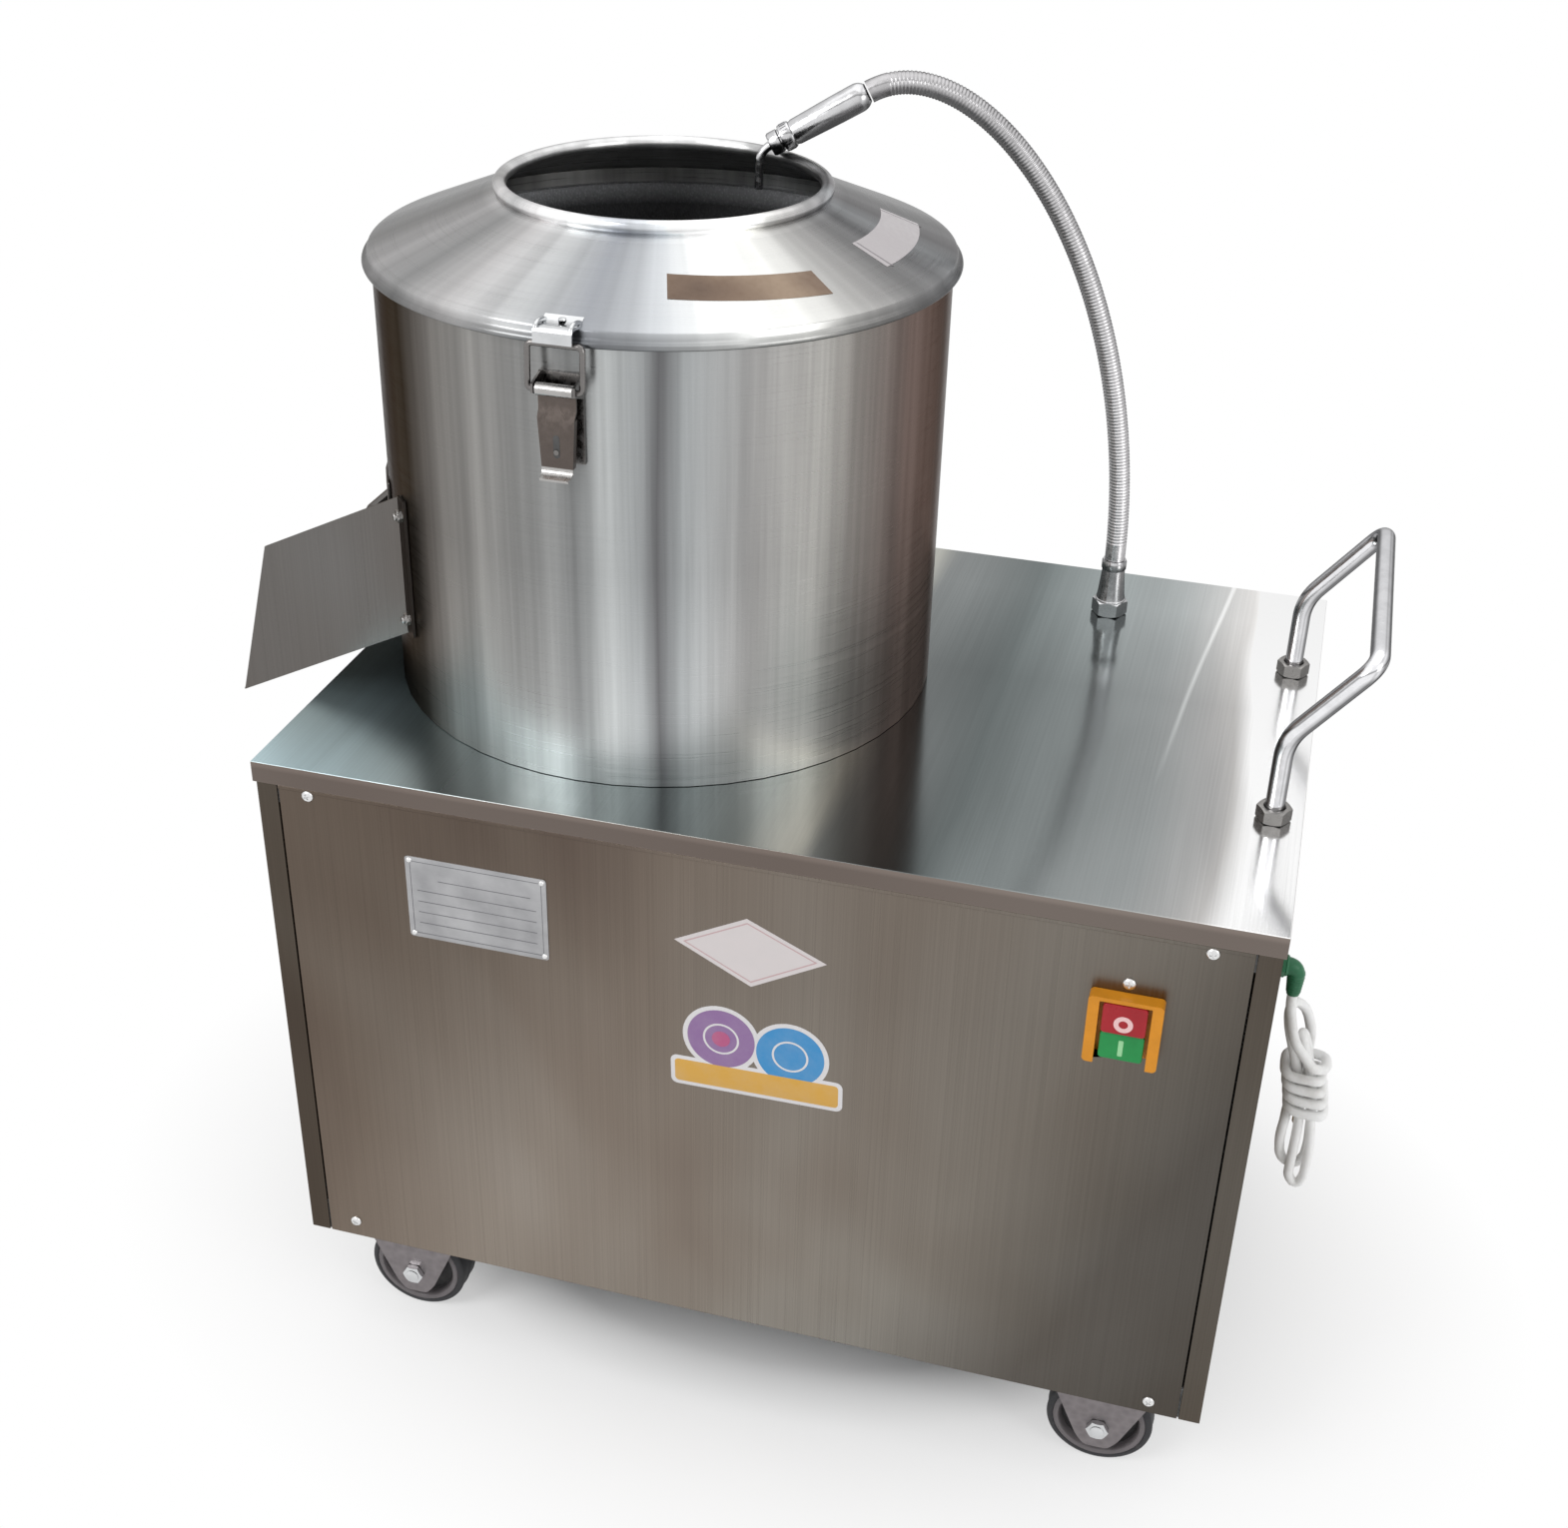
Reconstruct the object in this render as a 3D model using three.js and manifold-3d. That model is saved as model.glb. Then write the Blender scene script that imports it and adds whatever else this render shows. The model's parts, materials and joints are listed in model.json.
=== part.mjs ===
// Potato peeling machine: a round peeling barrel on a wheeled steel cabinet that holds the belt drive.
// Millimetres, +Z up, floor at zero. Everything is placed from the plan centre of the cabinet, and the
// whole machine is then moved so that the middle of its footprint is the origin.
import * as THREE from 'three';
import { mergeVertices } from 'three/addons/utils/BufferGeometryUtils.js';
import Module from 'manifold-3d';

const wasm = await Module();
wasm.setup();

// Clearances
const GAP = 0.3;
const OVERRUN = 6;

// Cabinet
const CABINET_W = 700;
const CABINET_D = 495;
const CABINET_H = 427;
const SHEET = 1.5;
const TOP_LIP_H = 16;
const STILE_W = 17;
const PANEL_RETURN = 12;
const PANEL_SEAM = 1.2;
const HEM_H = 3;
const HEM_T = 1;
const VENT_SLOTS = 6;
const VENT_X = 110;
const VENT_W = 120;
const VENT_H = 5;
const VENT_PITCH = 16;
const VENT_BOTTOM = 70;
const FRAME_LEG = 30;
const FRAME_WALL = 3;
const CASTER_PAD_W = 84;
const DRIVE_PLATE_T = 4;

// Casters
const WHEEL_R = 40;
const WHEEL_W = 28;
const CASTER_HEADROOM = 15;
const CASTER_H = 2 * WHEEL_R + CASTER_HEADROOM;
const CASTER_INSET_X = 73;
const CASTER_INSET_Y = 48;
const CASTER_PLATE_W = 76;
const CASTER_PLATE_D = 64;
const FORK_WALL = 3;
const FORK_SIDE_GAP = 3;
const FORK_FOOT_W = 26;
const AXLE_R = 5;
const AXLE_HEAD_R = 9;
const AXLE_HEAD_H = 6;

// Barrel
const BARREL_X = -129;
const BARREL_Y = -6.5;
const BARREL_R = 197.5;
const BARREL_H = 315;
const BARREL_WALL = 1.5;
const BARREL_FLOOR_T = 3;
const LINER_T = 6;
const LINER_BOTTOM = 40;
const LINER_TOP_DROP = 10;

// Discharge port, its door and the chute
const PORT_BOTTOM = 65;
const PORT_H = 83;
const PORT_W = 190;
const DOOR_LAP = 8;
const DOOR_T = 1.5;
const DOOR_HINGE_OUT = 6;
const DOOR_HINGE_UP = 6;
const DOOR_PIN_R = 2;
const DOOR_KNUCKLE_R = 4;
const DOOR_KNUCKLE_W = 36;
const HINGE_EAR_T = 3;
const DOOR_PULL_W = 70;
const DOOR_PULL_OUT = 24;
const DOOR_PULL_R = 4;
const CHUTE_W = 267;
const CHUTE_T = 1.5;
const CHUTE_FLOOR_AT_WALL = 59;
const CHUTE_WALL_H = 103;
const CHUTE_PAST_EDGE = 63;
const CHUTE_FALL = 69;
const CHUTE_TIP_RAKE = 30;
const CHUTE_TOP_FALL = 53;
const CHUTE_FLANGE = 12;

// Lid
const LID_RIM_OUT = 6;
const LID_RIM_R = BARREL_R + LID_RIM_OUT;
const LID_T = 1.5;
const LID_SKIRT_H = 9;
const LID_BEAD_H = 5;
const LID_NECK_R = 114.5;
const LID_CONE_H = 34;
const LID_MOUTH_BEAD_R = 4.6;
const LID_MOUTH_UP = 44.5;

// Toggle latches, in the plane through the barrel's axis: out from the barrel wall, and up
const LATCH_PIVOT_OUT = 12;
const LATCH_PIVOT_DROP = 34;
const LATCH_PIVOT_UP = BARREL_H - LATCH_PIVOT_DROP;
const LATCH_W = 25;
const LATCH_EAR_T = 1.5;
const LATCH_BASE_DROP = 50;
const LATCH_BASE_RISE = 8;
const LATCH_PIN_R = 2;
const LATCH_EYE_R = 4;
const LATCH_PLATE_T = 1.6;
const LATCH_LEVER_L = 54;
const LATCH_LIP = 7;
const LATCH_FACE_IN = 2.4;
const LATCH_FACE_OUT = 0.8;
const LATCH_JOG_START = 13.5;
const LATCH_JOG_END = 18;
const LATCH_NOSE_OUT = 2;
const LATCH_NOSE_DROP = 6.4;
const BAIL_WIRE_R = 2;
const BAIL_W = 35.4;
const BAIL_EYE_BACK = 2;
const BAIL_EYE_UP = 27;
const BAIL_BAR_OUT = 0.5;
const BAIL_BAR_DOWN = 9.8;
const BAIL_BEND_R = 5;
const KEEPER_W = 26;
const KEEPER_T = 1.6;
const KEEPER_FOOT = 16;

// Peeling disc and its drive
const DISC_RIM_CLEAR = 15.5;
const DISC_R = BARREL_R - DISC_RIM_CLEAR;
const DISC_T = 9;
const DISC_TOP = 60;
const DISC_WAVE_H = 7;
const DISC_WAVE_W = 52;
const DISC_WAVES = 3;
const DISC_SWEEP_H = 22;
const DISC_SWEEP_T = 5;
const DISC_HUB_R = 26;
const SHAFT_R = 12.5;
const SHAFT_NUT_R = 11;
const SHAFT_NUT_H = 8;
const HOUSING_R = 34;
const HOUSING_FLANGE_R = 66;
const HOUSING_FLANGE_T = 10;
const HOUSING_UP = 30;
const HOUSING_DOWN = 92;
const HOUSING_LIP = 6;
const BEARING_R = 26;
const BEARING_W = 15;
const BELT_W = 13;
const BELT_T = 9;
const BELT_TAPER = 2;
const BIG_PULLEY_R = 138;
const BIG_PULLEY_W = 24;
const BIG_PULLEY_WEB = 8;
const SMALL_PULLEY_R = 36;
const PULLEY_UP = 62;
const PULLEY_HUB_R = 24;
const MOTOR_X = 122;
const MOTOR_R = 68;
const MOTOR_BODY_H = 165;
const MOTOR_CLEAR = 22;
const MOTOR_SHAFT_R = 9.5;
const MOTOR_FOOT_W = 110;
const MOTOR_FOOT_T = 12;
const MOTOR_BOX_W = 60;
const MOTOR_BOX_T = 26;
const BRACKET_T = 6;
const BRACKET_W = 130;

// Drain
const DRAIN_R = 20;
const DRAIN_WALL = 2;
const DRAIN_INSET = 37.5;
const DRAIN_FROM_AXIS = BARREL_R - DRAIN_INSET;
const DRAIN_ANGLE = 75;
const DRAIN_DROP = 120;
const DRAIN_BEND = 34;
const DRAIN_OUT = 24;

// Water gooseneck
const HOSE_BASE_X = 182.6;
const HOSE_BASE_Y = 170.5;
const HOSE_R = 8;
const HOSE_BORE_R = 5.5;
const HOSE_RIB = 0.6;
const HOSE_RIBS = 70;
const HOSE_RIBS_PER_BORE_RING = 5;
const HOSE_RISE = 243;
const HOSE_BOW = 85.5;
const HOSE_END_OUT = 210;
const HOSE_END_OVER_BARREL = 86;
const HOSE_END_UP = BARREL_H + HOSE_END_OVER_BARREL;
const HOSE_END_ANGLE = 28.5;
const HOSE_HEADING_ANGLE = 199.36;
const FITTING_NUT_R = 14;
const FITTING_NUT_H = 12;
const FITTING_CONE_H = 34;
const FITTING_TOP_R = 9;
const FITTING_SHANK_R = 8;
const FITTING_SHANK_L = 24;
const NOZZLE_R = 10;
const NOZZLE_L = 53.5;
const NOZZLE_COLLAR_R = 11.5;
const NOZZLE_COLLAR_L = 9;
const NOZZLE_TIP_R = 7;
const NOZZLE_TIP_RUN = 22;
const NOZZLE_TIP_DROP = 36;
const NOZZLE_WALL = 1.5;

// Push handle
const HANDLE_R = 6.5;
const HANDLE_X = 330;
const HANDLE_HALF_SPAN = 109;
const HANDLE_LEG_H = 61;
const HANDLE_TOP_H = 123;
const HANDLE_REACH = 49;
const HANDLE_BEND = 14;
const HANDLE_NUT_R = 12;
const HANDLE_NUT_H = 13;

// Switch on the front panel
const SWITCH_X = 258;
const SWITCH_W = 48;
const SWITCH_DROP = 114.5;
const SWITCH_BOTTOM = CABINET_H - SWITCH_DROP;
const SWITCH_H = 52;
const SWITCH_OUT = 10;
const SWITCH_BORDER = 7.2;
const SWITCH_TOP_BORDER = 3;
const SWITCH_SIDE_ROUND = 3;
const SWITCH_RECESS = 8.4;
const SWITCH_BACK = 30;
const SWITCH_HOLE_UP = 4;
const SWITCH_HOLE_H = 42;
const BUTTON_W = 28.5;
const STOP_H = 22.5;
const START_H = 21.5;
const BUTTON_PROUD = 1;
const BUTTON_TRAVEL = 3;
const BUTTON_SEAM = 0.6;
const BUTTON_ROUND = 2.5;

// Power cord on the right side
const CORD_R = 3.5;
const CORD_Y = -150;
const CORD_EXIT_DROP = 87;
const CORD_EXIT_UP = CABINET_H - CORD_EXIT_DROP;
const GLAND_R = 8.5;
const GLAND_OUT = 6;
const GLAND_SLEEVE_R = 5.5;
const GLAND_DROP = 20;
const HANK_X = 386;
const HANK_WAIST_LOW = 214;
const HANK_WAIST_HIGH = 266;
const HANK_BEND_FROM = 190;
const HANK_LEAN = 10.5;
const HANK_WRAP_HALF = 12.1;
const HANK_WRAPS = 4.6;
const HANK_WRAP_PITCH = 9.8;
const HANK_STUB = 4.2;
const HANK_START_ANGLE = -40;
const HANK_STUB_ANGLE = 60;
const HANK_STEPS = 24;
const HANK_SIDES = 6;
const PLUG_UP = 246;
const PLUG_X = 380;
const PLUG_BACK = 27;
const PLUG_L = 36;
const PLUG_W = 20;
const PLUG_T = 21;
const PLUG_NECK_L = 10;
const PLUG_PIN_L = 17;
const PLUG_PIN_R = 2.2;
const PLUG_PIN_PITCH = 12;

// Facets
const FINE = 48;
const ROUND = 24;
const SMALL = 14;
const TINY = 10;
const BEND_STEPS = 3;

// Heights and places that follow from these sizes
const TOP = CASTER_H + CABINET_H;
const HALF_W = CABINET_W / 2;
const HALF_D = CABINET_D / 2;
const PANEL_HALF_W = HALF_W - SHEET - GAP;
const PANEL_HALF_D = HALF_D - SHEET - GAP;
const FRAME_HALF_W = PANEL_HALF_W - SHEET - GAP;
const FRAME_HALF_D = PANEL_HALF_D - SHEET - GAP;
const PANEL_TOP = TOP - SHEET - GAP;
const FRONT_TOP = TOP - TOP_LIP_H - GAP;
const BARREL_BASE = TOP + GAP;
const BARREL_TOP = BARREL_BASE + BARREL_H;
const UPPER_FRAME_Z = PANEL_TOP - GAP - FRAME_LEG;
const DRIVE_PLATE_Z = UPPER_FRAME_Z + FRAME_WALL + GAP;
const PULLEY_Z = CASTER_H + PULLEY_UP;
const SEAM_Z = BARREL_TOP + GAP - LID_SKIRT_H;
const CONE_Z = BARREL_TOP + GAP;

// Materials
const paint = (color, metalness, roughness) => new THREE.MeshStandardMaterial({ color, metalness, roughness });
const brushedSteel = paint(0xb9bbb9, 0.9, 0.34);
const darkSteel = paint(0x8f8a80, 0.85, 0.4);
const chrome = paint(0xd9dadc, 1, 0.15);
const zinc = paint(0xa8a8a6, 0.8, 0.45);
const castIron = paint(0x55585a, 0.6, 0.6);
const motorPaint = paint(0x4e6a7c, 0.2, 0.5);
const blackRubber = paint(0x26272a, 0, 0.85);
const grit = paint(0x3b3d3f, 0, 0.95);
const cordGrey = paint(0xdcdcd8, 0, 0.5);
const earthGreen = paint(0x2f6b45, 0, 0.5);
const switchYellow = paint(0xe59a1c, 0, 0.45);
const stopRed = paint(0xc22a33, 0, 0.4);
const startGreen = paint(0x26924f, 0, 0.4);

// Solids and meshes

// Flips the faces of a closed geometry that came out inside out.
function facingOut(geometry) {
  const p = geometry.attributes.position;
  const index = geometry.index.array;
  const a = new THREE.Vector3(), b = new THREE.Vector3(), c = new THREE.Vector3();
  let volume = 0;
  for (let i = 0; i < index.length; i += 3) {
    a.fromBufferAttribute(p, index[i]);
    b.fromBufferAttribute(p, index[i + 1]);
    c.fromBufferAttribute(p, index[i + 2]);
    volume += a.dot(b.cross(c));
  }
  if (volume < 0) {
    for (let i = 0; i < index.length; i += 3) [index[i], index[i + 1]] = [index[i + 1], index[i]];
  }
  return geometry;
}

function bare(geometry) {
  const copy = geometry.clone();
  copy.deleteAttribute('normal');
  copy.deleteAttribute('uv');
  return facingOut(mergeVertices(copy, 1e-4));
}

function solid(geometry) {
  const g = bare(geometry);
  return new wasm.Manifold(new wasm.Mesh({
    numProp: 3,
    vertProperties: Float32Array.from(g.attributes.position.array),
    triVerts: Uint32Array.from(g.index.array),
  }));
}

function geometryOf(body) {
  const m = body.getMesh();
  const g = new THREE.BufferGeometry();
  g.setAttribute('position', new THREE.BufferAttribute(Float32Array.from(m.vertProperties), 3));
  g.setIndex(new THREE.BufferAttribute(Uint32Array.from(m.triVerts), 1));
  return g;
}

const joined = (first, ...others) => others.reduce((sum, next) => sum.add(next), first);
const without = (first, ...others) => others.reduce((rest, next) => rest.subtract(next), first);

// A box from its lowest to its highest corner.
function block(x0, y0, z0, x1, y1, z1) {
  const g = new THREE.BoxGeometry(x1 - x0, y1 - y0, z1 - z0);
  return solid(g.translate((x0 + x1) / 2, (y0 + y1) / 2, (z0 + z1) / 2));
}

// An upright round bar.
function bar(r, z0, z1, x = 0, y = 0, sides = ROUND) {
  const g = new THREE.CylinderGeometry(r, r, z1 - z0, sides).rotateX(Math.PI / 2);
  return solid(g.translate(x, y, (z0 + z1) / 2));
}

// A body turned round an upright axis from [radius, height] points that close on themselves or on the axis.
function turned(profile, sides = ROUND) {
  const points = profile.map(([r, z]) => new THREE.Vector2(r, z));
  return solid(new THREE.LatheGeometry(points, sides).rotateX(Math.PI / 2));
}

function outlineOf(points) {
  return new THREE.Shape(points.map(([x, y]) => new THREE.Vector2(x, y)));
}

// An outline in the XY plane, pulled up from z0 to z1.
function prism(points, z0, z1) {
  const g = new THREE.ExtrudeGeometry(outlineOf(points), { depth: z1 - z0, bevelEnabled: false });
  return solid(g.translate(0, 0, z0));
}

// An outline drawn as [out, up], as wide as asked and centred on its plane.
const slab = (points, width) => prism(points, -width / 2, width / 2);

// A rod across such a plane.
const crossRod = (r, width, out = 0, up = 0, sides = SMALL) => bar(r, -width / 2, width / 2, out, up, sides);

// Straight runs with rounded corners between them, as points along the middle.
function bentLine(corners, bend) {
  const points = [corners[0]];
  for (let i = 1; i < corners.length - 1; i++) {
    const into = corners[i - 1].clone().sub(corners[i]).setLength(bend).add(corners[i]);
    const away = corners[i + 1].clone().sub(corners[i]).setLength(bend).add(corners[i]);
    points.push(...new THREE.QuadraticBezierCurve3(into, corners[i], away).getPoints(BEND_STEPS));
  }
  points.push(corners[corners.length - 1]);
  return points;
}

// A rod, or with a bore a pipe, of round section along points.
function rodAlong(points, r, sides, bore = 0) {
  const along = points[1].clone().sub(points[0]).normalize();
  const across = Math.abs(along.y) < Math.SQRT1_2 ? new THREE.Vector3(0, 1, 0) : new THREE.Vector3(1, 0, 0);
  const frames = framesAlong(points, across);
  const rings = (radius) => frames.map((f, i) => ringAt(points[i], f.side, f.up, radius, sides));
  if (!bore) return meshFromRings(rings(r), false);
  return meshFromRings([...rings(r), ...rings(bore).reverse()], true);
}

// Joins rings of equal point count into a skin; a closed skin joins its last ring to its first.
function skinIndex(rings, sides, closed, start = 0) {
  const index = [];
  for (let i = 0; i < (closed ? rings : rings - 1); i++) {
    const a = start + i * sides;
    const b = start + ((i + 1) % rings) * sides;
    for (let j = 0; j < sides; j++) {
      const k = (j + 1) % sides;
      index.push(a + j, a + k, b + k, a + j, b + k, b + j);
    }
  }
  return index;
}

function meshFromRings(rings, closed) {
  const sides = rings[0].length;
  const g = new THREE.BufferGeometry().setFromPoints(rings.flat());
  const index = skinIndex(rings.length, sides, closed);
  if (!closed) {
    const last = (rings.length - 1) * sides;
    for (let j = 1; j < sides - 1; j++) {
      index.push(0, j + 1, j);
      index.push(last, last + j, last + j + 1);
    }
  }
  g.setIndex(index);
  return facingOut(g);
}

// Ring of points round a spine point.
function ringAt(centre, side, up, r, sides) {
  return Array.from({ length: sides }, (_, j) => {
    const a = (2 * Math.PI * j) / sides;
    return centre.clone().addScaledVector(side, r * Math.cos(a)).addScaledVector(up, r * Math.sin(a));
  });
}

// Frames that turn as little as they can along a line of points.
function framesAlong(points, firstSide) {
  const frames = [];
  const direction = (i) => points[i + 1].clone().sub(points[i]).normalize();
  let side = firstSide.clone();
  for (let i = 0; i < points.length; i++) {
    const along = direction(Math.min(i, points.length - 2)).add(direction(Math.max(i - 1, 0))).normalize();
    side = side.clone().addScaledVector(along, -side.dot(along)).normalize();
    frames.push({ along, side, up: along.clone().cross(side) });
  }
  return frames;
}

const CORD_PIECES = ['cord_lead', 'cord_hank', 'plug'];
const machine = new THREE.Group();
machine.name = 'potato_peeler';

function place(name, shape, material, x = 0, y = 0, z = 0) {
  const mesh = new THREE.Mesh(shape.isBufferGeometry ? shape : geometryOf(shape), material);
  mesh.name = name;
  mesh.position.set(x, y, z);
  machine.add(mesh);
  return mesh;
}

// Cabinet

function makeTabletop() {
  const pan = without(
    block(-HALF_W, -HALF_D, TOP - TOP_LIP_H, HALF_W, HALF_D, TOP),
    block(-HALF_W + SHEET, -HALF_D + SHEET, TOP - TOP_LIP_H - OVERRUN,
      HALF_W - SHEET, HALF_D - SHEET, TOP - SHEET),
    bar(HOUSING_R + GAP, TOP - OVERRUN, TOP + OVERRUN, BARREL_X, BARREL_Y),
    bar(DRAIN_R + GAP, TOP - OVERRUN, TOP + OVERRUN, ...drainPlace(), SMALL),
    bar(FITTING_SHANK_R + GAP, TOP - OVERRUN, TOP + OVERRUN, HOSE_BASE_X, HOSE_BASE_Y, SMALL),
  );
  place('tabletop', pan, brushedSteel);
}

function makeSidePanel(name, side) {
  const outer = PANEL_HALF_W;
  const inner = PANEL_HALF_W - SHEET;
  const stile = HALF_W - STILE_W;
  const half = PANEL_HALF_D;
  const wall = half - SHEET;
  const section = [
    [stile, -half], [outer, -half], [outer, half], [stile, half],
    [stile, wall], [inner, wall], [inner, -wall], [stile, -wall],
  ].map(([x, y]) => [side * x, y]);
  let panel = prism(section, CASTER_H, PANEL_TOP);
  if (side > 0) {
    const hole = solid(new THREE.CylinderGeometry(CORD_R, CORD_R, 2 * OVERRUN, SMALL)
      .rotateZ(Math.PI / 2).translate(outer, CORD_Y, CASTER_H + CORD_EXIT_UP));
    panel = without(panel, hole);
  }
  place(name, panel, darkSteel);
}

// Front and back panel: a skin, a hem along the top, and side returns that stand between the two frames.
function makeEndPanel(name, facing) {
  const half = HALF_W - STILE_W - PANEL_SEAM;
  const between = (y0, y1) => [Math.min(facing * y0, facing * y1), Math.max(facing * y0, facing * y1)];
  const face = PANEL_HALF_D;
  const [skin0, skin1] = between(face - SHEET, face);
  const [hem0, hem1] = between(face - SHEET, face + HEM_T);
  const [return0, return1] = between(face - PANEL_RETURN, face);
  const low = CASTER_H + FRAME_LEG + GAP;
  const high = UPPER_FRAME_Z - GAP;
  let panel = joined(
    block(-half, skin0, CASTER_H, half, skin1, FRONT_TOP),
    block(-half, hem0, FRONT_TOP - HEM_H, half, hem1, FRONT_TOP),
    block(-half, return0, low, -half + SHEET, return1, high),
    block(half - SHEET, return0, low, half, return1, high),
  );
  const [cut0, cut1] = between(face - OVERRUN, face + OVERRUN);
  if (facing < 0) {
    const [x0, x1] = [SWITCH_X - BUTTON_W / 2, SWITCH_X + BUTTON_W / 2];
    const z0 = CASTER_H + SWITCH_BOTTOM + SWITCH_HOLE_UP;
    panel = without(panel, block(x0, cut0, z0, x1, cut1, z0 + SWITCH_HOLE_H));
  } else {
    const hole = solid(new THREE.CylinderGeometry(DRAIN_R + GAP, DRAIN_R + GAP, 4 * OVERRUN, SMALL)
      .translate(drainPlace()[0], facing * face, drainExitZ()));
    const slots = Array.from({ length: VENT_SLOTS }, (_, i) => {
      const z = CASTER_H + VENT_BOTTOM + i * VENT_PITCH;
      return block(VENT_X - VENT_W / 2, cut0, z, VENT_X + VENT_W / 2, cut1, z + VENT_H);
    });
    panel = without(panel, hole, ...slots);
  }
  place(name, panel, darkSteel);
}

// A ring of angle steel: upright leg outside, flat leg at the bottom.
function angleRing(z0) {
  const [w, d, a] = [FRAME_HALF_W, FRAME_HALF_D, FRAME_LEG];
  return without(
    block(-w, -d, z0, w, d, z0 + a),
    block(-w + FRAME_WALL, -d + FRAME_WALL, z0 + FRAME_WALL, w - FRAME_WALL, d - FRAME_WALL, z0 + a + OVERRUN),
    block(-w + a, -d + a, z0 - OVERRUN, w - a, d - a, z0 + FRAME_WALL + OVERRUN),
  );
}

const casterPlaces = [
  ['front_left', -1, -1], ['front_right', 1, -1], ['back_left', -1, 1], ['back_right', 1, 1],
].map(([name, sx, sy]) => [name, sx * (HALF_W - CASTER_INSET_X), sy * (HALF_D - CASTER_INSET_Y), sx, sy]);

function makeFrames() {
  const pads = casterPlaces.map(([, , , sx, sy]) => {
    const [farX, nearX] = [FRAME_HALF_W - FRAME_WALL, FRAME_HALF_W - CASTER_PAD_W - FRAME_LEG];
    const [farY, nearY] = [FRAME_HALF_D - FRAME_WALL, FRAME_HALF_D - CASTER_PAD_W];
    const [x0, x1] = [sx * nearX, sx * farX].sort((a, b) => a - b);
    const [y0, y1] = [sy * nearY, sy * farY].sort((a, b) => a - b);
    return block(x0, y0, CASTER_H, x1, y1, CASTER_H + FRAME_WALL);
  });
  place('base_frame', joined(angleRing(CASTER_H), ...pads), castIron);
  place('upper_frame', angleRing(UPPER_FRAME_Z), castIron);
  const half = [FRAME_HALF_W - FRAME_WALL - GAP, FRAME_HALF_D - FRAME_WALL - GAP];
  const plate = without(
    block(-half[0], -half[1], DRIVE_PLATE_Z, half[0], half[1], DRIVE_PLATE_Z + DRIVE_PLATE_T),
    bar(HOUSING_R + GAP, DRIVE_PLATE_Z - OVERRUN, DRIVE_PLATE_Z + 2 * OVERRUN, BARREL_X, BARREL_Y),
    bar(DRAIN_R + GAP, DRIVE_PLATE_Z - OVERRUN, DRIVE_PLATE_Z + 2 * OVERRUN, ...drainPlace(), SMALL),
    bar(FITTING_SHANK_R + GAP, DRIVE_PLATE_Z - OVERRUN, DRIVE_PLATE_Z + 2 * OVERRUN,
      HOSE_BASE_X, HOSE_BASE_Y, SMALL),
  );
  place('drive_plate', plate, zinc);
}

// Casters

function makeCaster(name, x, y) {
  const plateZ = CASTER_H - GAP;
  const inner = WHEEL_W / 2 + FORK_SIDE_GAP;
  const axleUp = WHEEL_R;
  const cheek = [
    [-CASTER_PLATE_W / 2, plateZ - FORK_WALL], [-FORK_FOOT_W / 2, axleUp - FORK_FOOT_W / 4],
    [-FORK_FOOT_W / 4, axleUp - FORK_FOOT_W / 2], [FORK_FOOT_W / 4, axleUp - FORK_FOOT_W / 2],
    [FORK_FOOT_W / 2, axleUp - FORK_FOOT_W / 4], [CASTER_PLATE_W / 2, plateZ - FORK_WALL],
  ];
  const shape = outlineOf(cheek);
  shape.holes.push(new THREE.Path().absarc(0, axleUp, AXLE_R + GAP, 0, Math.PI * 2, true));
  const cut = { depth: FORK_WALL, bevelEnabled: false, curveSegments: TINY / 2 };
  const cheekAt = (y0) => solid(new THREE.ExtrudeGeometry(shape, cut)
    .rotateX(Math.PI / 2).translate(0, y0 + FORK_WALL, 0));
  const fork = joined(
    block(
      -CASTER_PLATE_W / 2, -CASTER_PLATE_D / 2, plateZ - FORK_WALL,
      CASTER_PLATE_W / 2, CASTER_PLATE_D / 2, plateZ,
    ),
    cheekAt(inner), cheekAt(-inner - FORK_WALL),
  );
  place(`${name}_caster_fork`, fork, zinc, x, y);

  const tyre = WHEEL_W / 2;
  const hub = WHEEL_W / 2 + FORK_SIDE_GAP - GAP;
  const rimR = WHEEL_R * RIM_SHARE;
  const webR = WHEEL_R * WEB_SHARE;
  const hubR = WHEEL_R * HUB_SHARE;
  const dish = WHEEL_W * DISH_SHARE;
  const round = WHEEL_W * TYRE_ROUND_SHARE;
  const half = [
    [AXLE_R + GAP, hub], [hubR, hub], [hubR, tyre - dish], [webR, tyre - dish], [rimR, tyre],
    [WHEEL_R, tyre - round],
  ];
  const profile = [...half, ...half.map(([r, z]) => [r, -z]).reverse(), half[0]];
  const wheel = geometryOf(turned(profile, ROUND)).rotateX(Math.PI / 2);
  place(`${name}_caster_wheel`, wheel, blackRubber, x, y, axleUp);

  const end = inner + FORK_WALL + GAP;
  const pin = turned([
    [0, -end - AXLE_HEAD_H], [AXLE_HEAD_R * DOME_SHARE, -end - AXLE_HEAD_H], [AXLE_HEAD_R, -end],
    [AXLE_R, -end], [AXLE_R, end], [AXLE_HEAD_R, end], [AXLE_HEAD_R * DOME_SHARE, end + AXLE_HEAD_H],
    [0, end + AXLE_HEAD_H],
  ], TINY);
  place(`${name}_caster_axle`, geometryOf(pin).rotateX(Math.PI / 2), chrome, x, y, axleUp);
}
const RIM_SHARE = 0.72;
const WEB_SHARE = 0.6;
const HUB_SHARE = 0.32;
const DISH_SHARE = 0.25;
const TYRE_ROUND_SHARE = 0.2;
const DOME_SHARE = 0.6;

// Barrel

// A box through the barrel wall on the chute's side.
function portCutter(low, high, width, r) {
  return block(BARREL_X - r, BARREL_Y - width / 2, low, BARREL_X, BARREL_Y + width / 2, high);
}

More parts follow.
